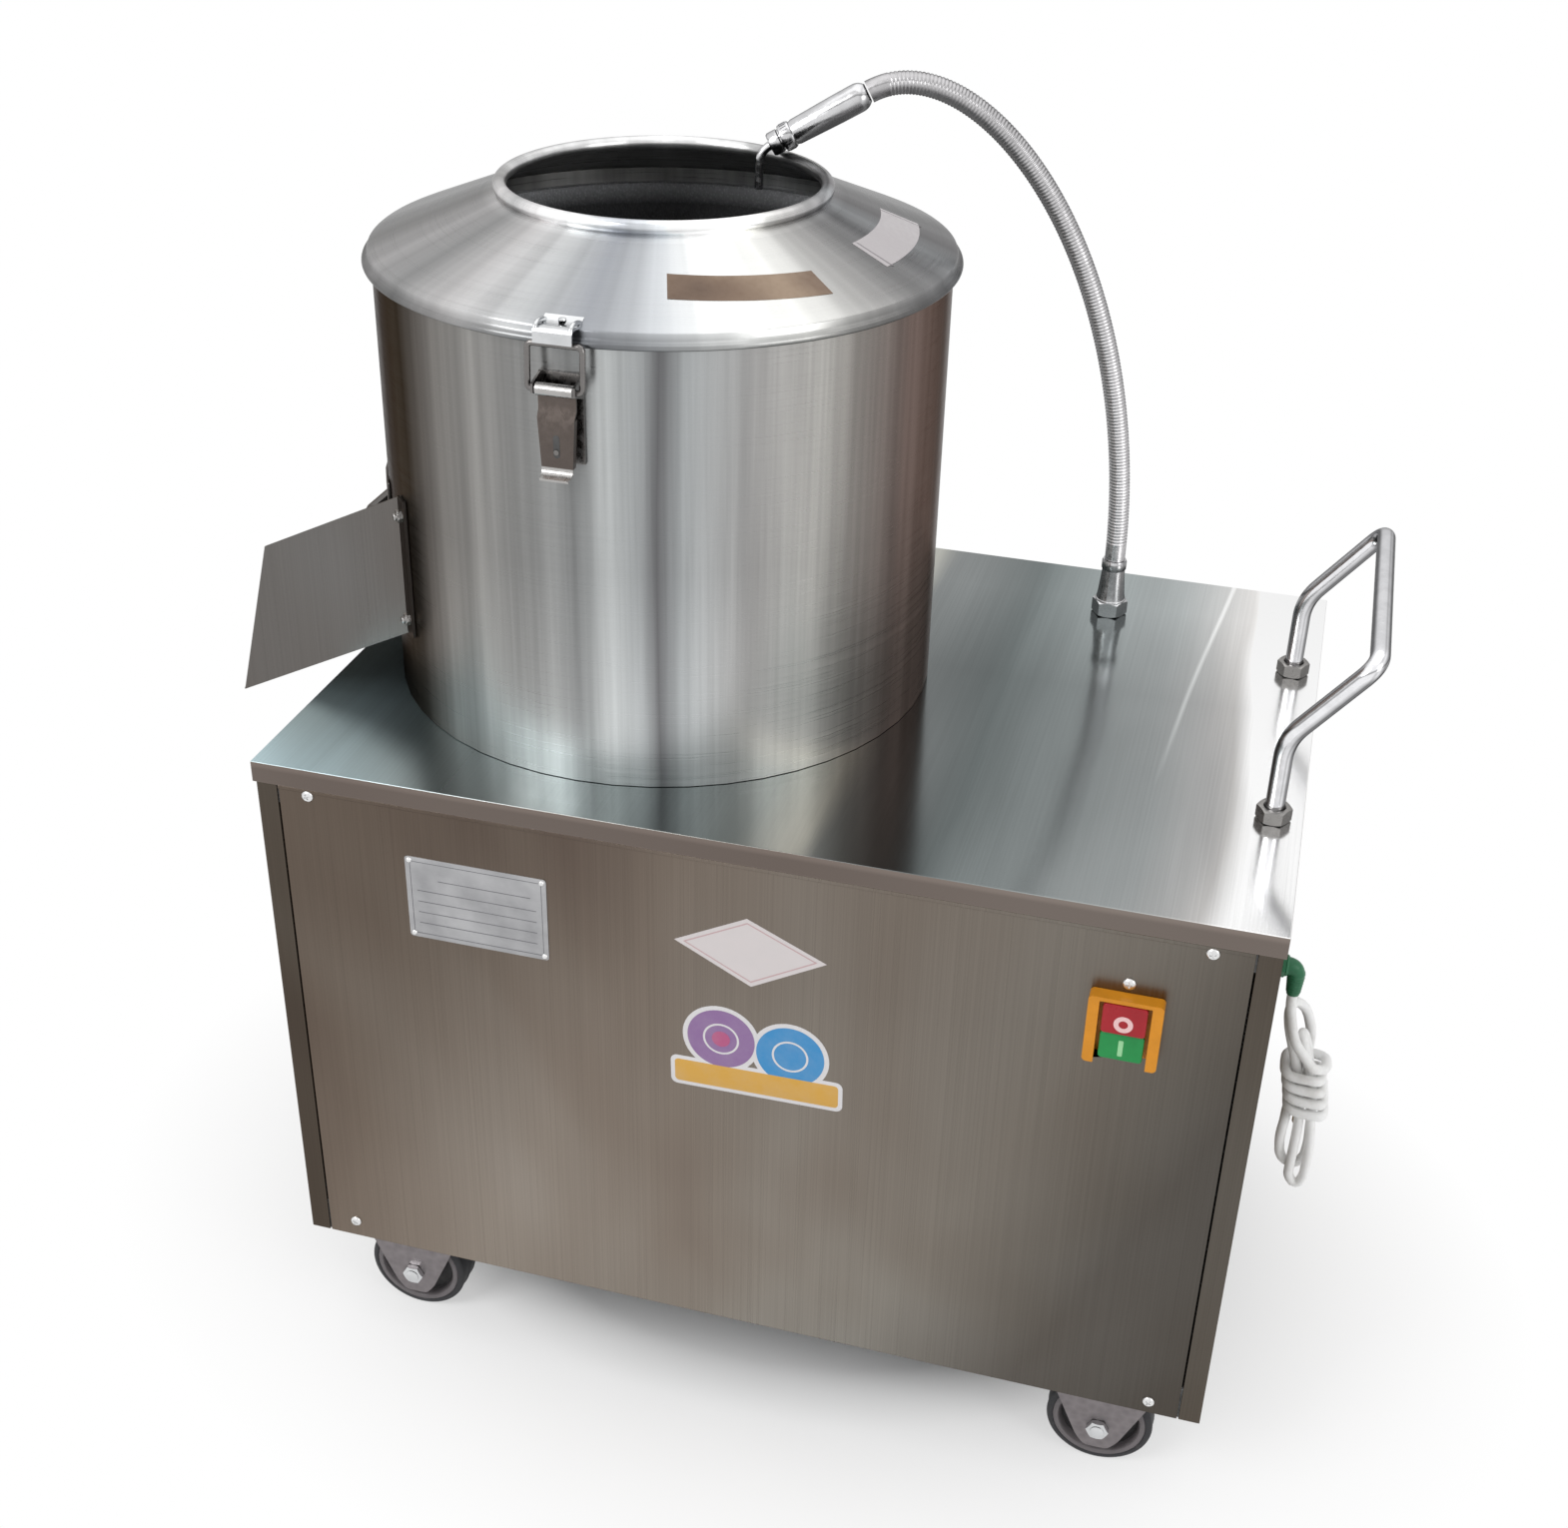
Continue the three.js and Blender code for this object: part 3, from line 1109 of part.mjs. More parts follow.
// One rib is a ring at the crest and one in the valley; the ends run straight, with no rib.
function makeGooseneck() {
  const curve = hoseCurve();
  const across = new THREE.Vector3(0, 0, 1).cross(hoseHeading).normalize();
  const frameAt = (t) => {
    const along = curve.getTangentAt(t);
    return { centre: curve.getPointAt(t), side: across, up: along.clone().cross(across).normalize() };
  };
  const length = curve.getLength();
  const plain = (2 * HOSE_R) / length;
  const sides = 8;
  const outer = [];
  const inner = [];
  const add = (list, t, r) => {
    const f = frameAt(t);
    list.push(ringAt(f.centre, f.side, f.up, r, sides));
  };
  add(outer, 0, HOSE_R - HOSE_RIB);
  add(inner, 0, HOSE_BORE_R);
  for (let i = 0; i < HOSE_RIBS; i++) {
    const step = (1 - 2 * plain) / HOSE_RIBS;
    const t = plain + i * step;
    add(outer, t, HOSE_R - HOSE_RIB);
    add(outer, t + step / 2, HOSE_R);
    if (i % HOSE_RIBS_PER_BORE_RING === 0) add(inner, t, HOSE_BORE_R);
  }
  add(outer, 1 - plain, HOSE_R - HOSE_RIB);
  add(outer, 1, HOSE_R - HOSE_RIB);
  add(inner, 1, HOSE_BORE_R);
  place('gooseneck_hose', meshFromRings([...outer, ...inner.reverse()], true), chrome);
}

function makeHoseEnds() {
  const nutTop = GAP + FITTING_NUT_H;
  const shank = FITTING_SHANK_R;
  const fitting = without(
    joined(
      bar(FITTING_NUT_R, GAP, nutTop, 0, 0, 6),
      turned([
        [0, nutTop - SHEET], [FITTING_NUT_R * EYE_SIDE_SHARE, nutTop - SHEET],
        [FITTING_TOP_R, hoseFoot], [0, hoseFoot],
      ], SMALL),
      bar(shank, -FITTING_SHANK_L, GAP + SHEET, 0, 0, SMALL),
    ),
    bar(HOSE_BORE_R, -FITTING_SHANK_L - OVERRUN, hoseFoot + OVERRUN, 0, 0, TINY),
  );
  place('hose_fitting', fitting, chrome, HOSE_BASE_X, HOSE_BASE_Y, TOP);

  // Drawn upright with its ball's end at zero, then turned to look down the hose's last direction.
  // The ball turns in the mouth of the hose.
  const ball = Array.from({ length: BALL_STEPS + 1 }, (_, i) => {
    const a = ((i / BALL_STEPS) * Math.PI) / 2;
    return [NOZZLE_R * Math.sin(a), NOZZLE_R - NOZZLE_R * Math.cos(a)];
  });
  const barrel = [
    ...ball, [NOZZLE_R, NOZZLE_L], [NOZZLE_COLLAR_R, NOZZLE_L],
    [NOZZLE_COLLAR_R, NOZZLE_L + NOZZLE_COLLAR_L], [0, NOZZLE_L + NOZZLE_COLLAR_L],
  ];
  const body = geometryOf(turned(barrel, SMALL));
  const turn = new THREE.Quaternion().setFromUnitVectors(new THREE.Vector3(0, 0, 1), hoseEndDir);
  const ballOut = Math.sqrt((NOZZLE_R + GAP) ** 2 - HOSE_BORE_R ** 2);
  const inlet = hoseAt(HOSE_END_OUT, HOSE_END_UP).addScaledVector(hoseEndDir, ballOut - NOZZLE_R);
  body.applyQuaternion(turn).translate(...inlet.toArray());
  const elbow = inlet.clone().addScaledVector(hoseEndDir, NOZZLE_L + NOZZLE_COLLAR_L + NOZZLE_TIP_RUN);
  const tipEnd = elbow.clone().add(new THREE.Vector3(0, 0, -NOZZLE_TIP_DROP));
  const tipFrom = inlet.clone().addScaledVector(hoseEndDir, NOZZLE_L);
  const bend = NOZZLE_TIP_RUN * EYE_SIDE_SHARE;
  const tip = solid(rodAlong(bentLine([tipFrom, elbow, tipEnd], bend), NOZZLE_TIP_R, TINY));
  const boreFrom = inlet.clone().addScaledVector(hoseEndDir, -OVERRUN);
  const boreEnd = tipEnd.clone().add(new THREE.Vector3(0, 0, -OVERRUN));
  const bore = solid(rodAlong(bentLine([boreFrom, elbow, boreEnd], bend), NOZZLE_TIP_R - NOZZLE_WALL, TINY));
  const ballCentre = inlet.clone().addScaledVector(hoseEndDir, NOZZLE_R);
  const toBall = ballCentre.clone().negate().toArray();
  const nozzle = geometryOf(without(joined(solid(body), tip), bore)).translate(...toBall);
  place('spray_nozzle', nozzle, chrome, ...ballCentre.toArray());
}
const BALL_STEPS = 4;

// Push handle

function makeHandle() {
  const foot = GAP + HANDLE_NUT_H / 2;
  const legs = [-1, 1].map((side) => side * HANDLE_HALF_SPAN);
  const line = bentLine([
    new THREE.Vector3(0, legs[0], foot), new THREE.Vector3(0, legs[0], HANDLE_LEG_H),
    new THREE.Vector3(HANDLE_REACH, legs[0], HANDLE_TOP_H), new THREE.Vector3(HANDLE_REACH, legs[1], HANDLE_TOP_H),
    new THREE.Vector3(0, legs[1], HANDLE_LEG_H), new THREE.Vector3(0, legs[1], foot),
  ], HANDLE_BEND);
  place('push_handle', rodAlong(line, HANDLE_R, TINY + 2), chrome, HANDLE_X, 0, TOP);
  const nut = without(
    bar(HANDLE_NUT_R, GAP, GAP + HANDLE_NUT_H, 0, 0, 6),
    bar(HANDLE_R + GAP, GAP + HANDLE_NUT_H / 2 - GAP, HANDLE_NUT_H + OVERRUN, 0, 0, SMALL),
  );
  place('handle_nut_front', nut, chrome, HANDLE_X, legs[0], TOP);
  place('handle_nut_back', nut, chrome, HANDLE_X, legs[1], TOP);
}

// Switch

// A bar of rounded-rectangle section, drawn in x and z and pulled from y0 back to y1.
function roundedBlock(x0, z0, x1, z1, r, y0, y1) {
  const shape = new THREE.Shape();
  shape.absarc(x1 - r, z1 - r, r, 0, Math.PI / 2);
  shape.absarc(x0 + r, z1 - r, r, Math.PI / 2, Math.PI);
  shape.absarc(x0 + r, z0 + r, r, Math.PI, 1.5 * Math.PI);
  shape.absarc(x1 - r, z0 + r, r, 1.5 * Math.PI, 2 * Math.PI);
  const g = new THREE.ExtrudeGeometry(shape, { depth: y1 - y0, bevelEnabled: false, curveSegments: 4 });
  return solid(g.rotateX(Math.PI / 2).translate(0, y1, 0));
}

function makeSwitch() {
  const face = -PANEL_HALF_D;
  const front = face - GAP - SWITCH_OUT;
  const z0 = CASTER_H + SWITCH_BOTTOM;
  const [x0, x1] = [SWITCH_X - SWITCH_W / 2, SWITCH_X + SWITCH_W / 2];
  const [in0, in1] = [x0 + SWITCH_BORDER, x1 - SWITCH_BORDER];
  const wellLow = z0 + SWITCH_BORDER / 2;
  const wellHigh = z0 + SWITCH_H - SWITCH_TOP_BORDER;
  const backHalf = BUTTON_W / 2 - GAP;
  const backLow = z0 + SWITCH_HOLE_UP + GAP;
  const housing = without(
    joined(
      roundedBlock(x0, z0, x1, z0 + SWITCH_H, SWITCH_SIDE_ROUND, front, face - GAP),
      block(
        SWITCH_X - backHalf, face - GAP * 2, backLow,
        SWITCH_X + backHalf, face + SWITCH_BACK, backLow + SWITCH_HOLE_H - 2 * GAP,
      ),
    ),
    block(in0, front - OVERRUN, wellLow, in1, front + SWITCH_RECESS, wellHigh),
  );
  place('switch_housing', housing, switchYellow);

  const buttonBack = front + SWITCH_RECESS - BUTTON_TRAVEL - GAP * 2;
  const [b0, b1] = [SWITCH_X - BUTTON_W / 2, SWITCH_X + BUTTON_W / 2];
  const startLow = wellLow + BUTTON_SEAM;
  const stopLow = wellHigh - BUTTON_SEAM - STOP_H;
  place('stop_button', roundedBlock(
    b0, stopLow, b1, stopLow + STOP_H, BUTTON_ROUND, front - BUTTON_PROUD, buttonBack,
  ), stopRed);
  const startHigh = stopLow - BUTTON_SEAM;
  place('start_button', roundedBlock(b0, Math.max(startLow, startHigh - START_H), b1, startHigh, BUTTON_ROUND,
    front + BUTTON_PROUD, buttonBack), startGreen);
}

// Power cord: gland, free lead, hank with its own wraps, plug

const glandFace = PANEL_HALF_W + GAP;
const leadX = glandFace + GLAND_OUT + CORD_R * 2;
const exitZ = CASTER_H + CORD_EXIT_UP;

function makeGland() {
  const line = bentLine([
    new THREE.Vector3(glandFace + GLAND_OUT / 2, CORD_Y, exitZ), new THREE.Vector3(leadX, CORD_Y, exitZ),
    new THREE.Vector3(leadX, CORD_Y, exitZ - GLAND_DROP),
  ], CORD_R * 2);
  const flange = solid(new THREE.CylinderGeometry(GLAND_R, GLAND_R, GLAND_OUT, 6).rotateZ(Math.PI / 2)
    .translate(glandFace + GLAND_OUT / 2, CORD_Y, exitZ));
  place('cord_gland', joined(flange, solid(rodAlong(line, GLAND_SLEEVE_R, TINY))), earthGreen);
}

// The hank's middle leans towards the panel above HANK_BEND_FROM. Places in it are in cord diameters:
// out from the panel, towards the back, and up from the foot of the wraps.
const D = CORD_R * 2;
function hankMiddle(z) {
  const rise = Math.max(0, (z - CASTER_H - HANK_BEND_FROM) / (HANK_WAIST_HIGH - HANK_BEND_FROM));
  return HANK_X - HANK_LEAN * rise * rise;
}
function inHank([out, back, up]) {
  const z = CASTER_H + HANK_WAIST_LOW + up * D;
  return new THREE.Vector3(hankMiddle(z) + out * D, CORD_Y + back * D, z);
}
const LEAD_END_SHARES = [0.49, -2.15, 9.55];
const LEAD_TURN_SHARES = [1.2, -2.1, 8.1];
const LEAD_HEADING = new THREE.Vector3(0.62, -0.05, -0.78).normalize();
const AFTER_WRAPS_SHARES = [
  [-1.93, -0.7, 0.1], [-2.15, -0.7, -1.6], [-2.1, -0.4, -3.4], [-1.7, 0, -5.1], [-0.7, 0.42, -6.1],
  [0.2, 0.55, -5.7], [0.59, 0.59, -4.2], [0.59, 0.59, 0], [0.59, 0.59, 3.7], [0.59, 0.59, 7.4],
  [0.59, 0.8, 8.6], [0.59, 0.66, 9.8], [0.59, 0, 10.4], [0.59, -0.66, 9.8], [0.59, -0.8, 8.6],
  [0.59, -0.59, 7.4], [0.59, -0.59, 3.7], [0.59, -0.59, 0], [0.68, -0.8, -1.5], [0.75, -0.86, -3.4],
  [0.74, -0.86, -6], [0.52, -0.86, -7.1], [0, -0.86, -7.5], [-0.52, -0.86, -7.1], [-0.74, -0.86, -6],
  [-0.75, -0.86, -3.4], [-0.68, -0.8, -1.5], [-0.59, -0.59, 0], [-0.59, -0.59, 3.7], [-0.59, -0.59, 7.4],
  [-0.57, -0.43, 10.6], [-0.35, 0.3, 12.2], [0.1, 1.3, 12.8], [0.5, 2.4, 12.2], [0.86, 3.3, 10.8],
];

// The cord between the gland and the hank.
function leadPoints() {
  const start = new THREE.Vector3(leadX, CORD_Y, exitZ - GLAND_DROP - GAP);
  const end = inHank(LEAD_END_SHARES);
  const down = new THREE.Vector3(0, 0, -D);
  const curve = new THREE.CubicBezierCurve3(
    start.clone().add(down), start.clone().addScaledVector(down, 2),
    end.clone().addScaledVector(LEAD_HEADING, -2 * D), end.clone().addScaledVector(LEAD_HEADING, -D),
  );
  return [start, ...curve.getPoints(6), end];
}

function makeLead() {
  place('cord_lead', rodAlong(leadPoints(), CORD_R, 8), cordGrey);
}

// Wraps from the top down, then the bow at their left, two loops through them, and the tail to the plug.
function hankPoints() {
  const start = inHank(LEAD_END_SHARES).addScaledVector(LEAD_HEADING, GAP);
  const wraps = [];
  const count = Math.round(HANK_WRAPS * HANK_STEPS);
  const corner = (c) => Math.sign(c) * Math.sqrt(Math.abs(c));
  for (let i = 0; i <= count; i++) {
    const degrees = HANK_START_ANGLE + (360 * i) / HANK_STEPS;
    const a = THREE.MathUtils.degToRad(degrees);
    const stub = degrees < HANK_STUB_ANGLE ? HANK_STUB * Math.cos((a * 90) / HANK_STUB_ANGLE) ** 2 : 0;
    const z = CASTER_H + HANK_WAIST_HIGH - (HANK_WRAP_PITCH * i) / HANK_STEPS;
    wraps.push(new THREE.Vector3(
      hankMiddle(z) + HANK_WRAP_HALF * corner(Math.cos(a)) + stub,
      CORD_Y + HANK_WRAP_HALF * corner(Math.sin(a)), z,
    ));
  }
  const leadIn = [start, start.clone().addScaledVector(LEAD_HEADING, D), inHank(LEAD_TURN_SHARES)];
  const plugTop = new THREE.Vector3(PLUG_X, CORD_Y + PLUG_BACK, CASTER_H + PLUG_UP + GAP);
  const tail = [3, 2, 1].map((n) => plugTop.clone().add(new THREE.Vector3(0, 0, n * D)));
  const into = smooth([...leadIn, wraps[0], wraps[1]], HANK_STEPS / 3, 1);
  const rest = smooth([
    wraps[count - 1], wraps[count], ...AFTER_WRAPS_SHARES.map(inHank), ...tail, plugTop,
  ], LOOP_STEPS, 0);
  return [...into, ...wraps.slice(1, count), ...rest];
}
const LOOP_STEPS = 66;

// Evenly spaced points on a smooth curve through points, without its last stretch if asked.
function smooth(points, steps, drop) {
  const curve = new THREE.CatmullRomCurve3(points, false, 'centripetal');
  return curve.getSpacedPoints(steps).slice(0, steps + 1 - drop);
}

// Least distance between stretches of a line that lie further apart along it than the reach, less one width.
function leastGap(points, width, reach) {
  const at = [0];
  for (let i = 1; i < points.length; i++) at.push(at[i - 1] + points[i].distanceTo(points[i - 1]));
  const fine = new THREE.CatmullRomCurve3(points, false, 'centripetal').getSpacedPoints(points.length * 4);
  const step = at[at.length - 1] / (fine.length - 1);
  let least = Infinity;
  for (let i = 0; i < fine.length; i++) {
    for (let j = i + Math.ceil(reach / step); j < fine.length; j++) {
      least = Math.min(least, fine[i].distanceTo(fine[j]));
    }
  }
  return least - width;
}

function makeHank() {
  const points = hankPoints();
  place('cord_hank', rodAlong(points, CORD_R, HANK_SIDES), cordGrey);
  const along = points.slice(1).reduce((sum, p, i) => sum + p.distanceTo(points[i]), 0);
  const gap = leastGap(points, D, 2.5 * D);
  console.log(`cord_hank: ${along.toFixed(0)} mm long, least gap to itself ${gap.toFixed(2)} mm`);
  const ribs = leastGap(hoseCurve().getSpacedPoints(HOSE_RIBS), HOSE_R * 2, HOSE_R * 7);
  const hoseL = hoseCurve().getLength();
  console.log(`gooseneck_hose: ${hoseL.toFixed(0)} mm long, least gap to itself ${ribs.toFixed(2)} mm`);
}

function makePlug() {
  const top = PLUG_UP + CASTER_H;
  const [w, t] = [PLUG_W / 2, PLUG_T / 2];
  const neck = PLUG_NECK_L;
  const body = joined(
    block(-w, -t, -PLUG_L, w, t, -neck),
    solid(new THREE.CylinderGeometry(CORD_R + PLUG_PIN_R, w, neck + PLUG_PIN_R, 8).rotateX(Math.PI / 2)
      .translate(0, 0, -(neck + PLUG_PIN_R) / 2)),
    ...[-1, 1].map((side) => (
      bar(PLUG_PIN_R, -PLUG_L - PLUG_PIN_L, -PLUG_L + PLUG_PIN_R, 0, (side * PLUG_PIN_PITCH) / 2, 8)
    )),
  );
  place('plug', body, cordGrey, PLUG_X, CORD_Y + PLUG_BACK, top);
}

makeTabletop();
makeSidePanel('left_side_panel', -1);
makeSidePanel('right_side_panel', 1);
makeEndPanel('front_panel', -1);
makeEndPanel('back_panel', 1);
makeFrames();
for (const [name, x, y] of casterPlaces) makeCaster(name, x, y);
makeBarrel();
makeLid();
makeLatch('front', -90);
makeLatch('back', 90);
makeChute();
makeDoor();
makeDisc();
makeBearings();
makeBeltDrive();
makeMotor();
makeDrain();
makeGooseneck();
makeHoseEnds();
makeHandle();
makeSwitch();
makeGland();
makeLead();
makeHank();
makePlug();

// The middle of the footprint, cord left out, becomes the origin.
machine.updateMatrixWorld(true);
const footprint = new THREE.Box3();
for (const piece of machine.children) {
  if (!CORD_PIECES.includes(piece.name)) footprint.expandByObject(piece, true);
}
const middle = footprint.getCenter(new THREE.Vector3());
for (const piece of machine.children) piece.position.sub(new THREE.Vector3(middle.x, middle.y, 0));

export default machine;
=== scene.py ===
import json
import math

import bmesh
import bpy
from mathutils import Matrix, Vector


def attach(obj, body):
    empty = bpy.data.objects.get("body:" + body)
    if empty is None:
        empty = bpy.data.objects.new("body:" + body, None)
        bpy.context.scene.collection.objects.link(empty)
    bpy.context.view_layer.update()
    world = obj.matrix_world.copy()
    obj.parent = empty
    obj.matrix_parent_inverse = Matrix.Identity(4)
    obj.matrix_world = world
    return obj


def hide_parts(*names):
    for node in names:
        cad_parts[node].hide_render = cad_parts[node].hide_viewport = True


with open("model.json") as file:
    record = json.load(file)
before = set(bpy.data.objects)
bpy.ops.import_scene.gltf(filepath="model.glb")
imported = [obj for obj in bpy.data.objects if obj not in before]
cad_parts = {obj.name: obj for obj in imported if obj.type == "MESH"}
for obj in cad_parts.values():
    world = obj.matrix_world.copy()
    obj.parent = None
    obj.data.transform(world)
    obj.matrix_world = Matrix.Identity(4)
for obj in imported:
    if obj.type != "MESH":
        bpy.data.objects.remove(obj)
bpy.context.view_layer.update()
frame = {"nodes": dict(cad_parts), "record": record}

# Sizes below are in millimetres from the cabinet's plan centre and the floor. at() moves them to the
# row frame, in metres.
SHIFT = Vector((13.789, -7.25, 0.0))
TOP = 522.0
TOP_FACE = TOP + 0.3
FRONT = -245.7
BARREL_X, BARREL_Y, BARREL_R = -129.0, -6.5, 197.5
CONE_FOOT, CONE_FOOT_R, CONE_NECK_R = 837.6, 199.6, 114.5
scene = bpy.context.scene


def at(x, y, z):
    return (Vector((x, y, z)) + SHIFT) / 1000


def moved(x, y, z, turn=None):
    return Matrix.Translation((x, y, z)) @ (turn.to_4x4() if turn is not None else Matrix.Identity(4))


def spot(x, y, z, turn=None):
    """Takes a shape drawn in millimetres round zero to its place in the row frame."""
    return moved(*at(x, y, z), turn) @ Matrix.Scale(0.001, 4)


def facing(direction, up=(0, 0, 1)):
    """A turn that takes local Z to a direction and keeps local Y towards up."""
    z = Vector(direction).normalized()
    x = Vector(up).cross(z)
    if x.length < 1e-6:
        x = Vector((1, 0, 0))
    x.normalize()
    y = z.cross(x)
    return Matrix((x, y, z)).transposed()


TO_FRONT, TO_BACK, TO_RIGHT = facing((0, -1, 0)), facing((0, 1, 0)), facing((1, 0, 0))


def round_barrel(degrees):
    """The directions out of the barrel and along its wall at an angle, where -90 is the front."""
    a = math.radians(degrees)
    return Vector((math.cos(a), math.sin(a), 0)), Vector((-math.sin(a), math.cos(a), 0))


# Camera

CAMERA_PLACE = (307.1, -1303.6, 1231.4)
HEADING, PITCH, ROLL = -0.2582, 0.5325, 0.0262
LENS, SENSOR = 46.43, 36


def make_camera():
    forward = Vector((math.sin(HEADING) * math.cos(PITCH), math.cos(HEADING) * math.cos(PITCH), -math.sin(PITCH)))
    right = Vector((math.cos(HEADING), -math.sin(HEADING), 0))
    up = right.cross(forward)
    across = math.cos(ROLL) * right + math.sin(ROLL) * up
    over = -math.sin(ROLL) * right + math.cos(ROLL) * up
    data = bpy.data.cameras.new("camera")
    data.lens, data.sensor_width = LENS, SENSOR
    data.clip_start, data.clip_end = 0.05, 60
    camera = bpy.data.objects.new("camera", data)
    scene.collection.objects.link(camera)
    place = Matrix((across, over, -forward)).transposed().to_4x4()
    place.translation = at(*CAMERA_PLACE)
    camera.matrix_world = place
    scene.camera = camera


make_camera()

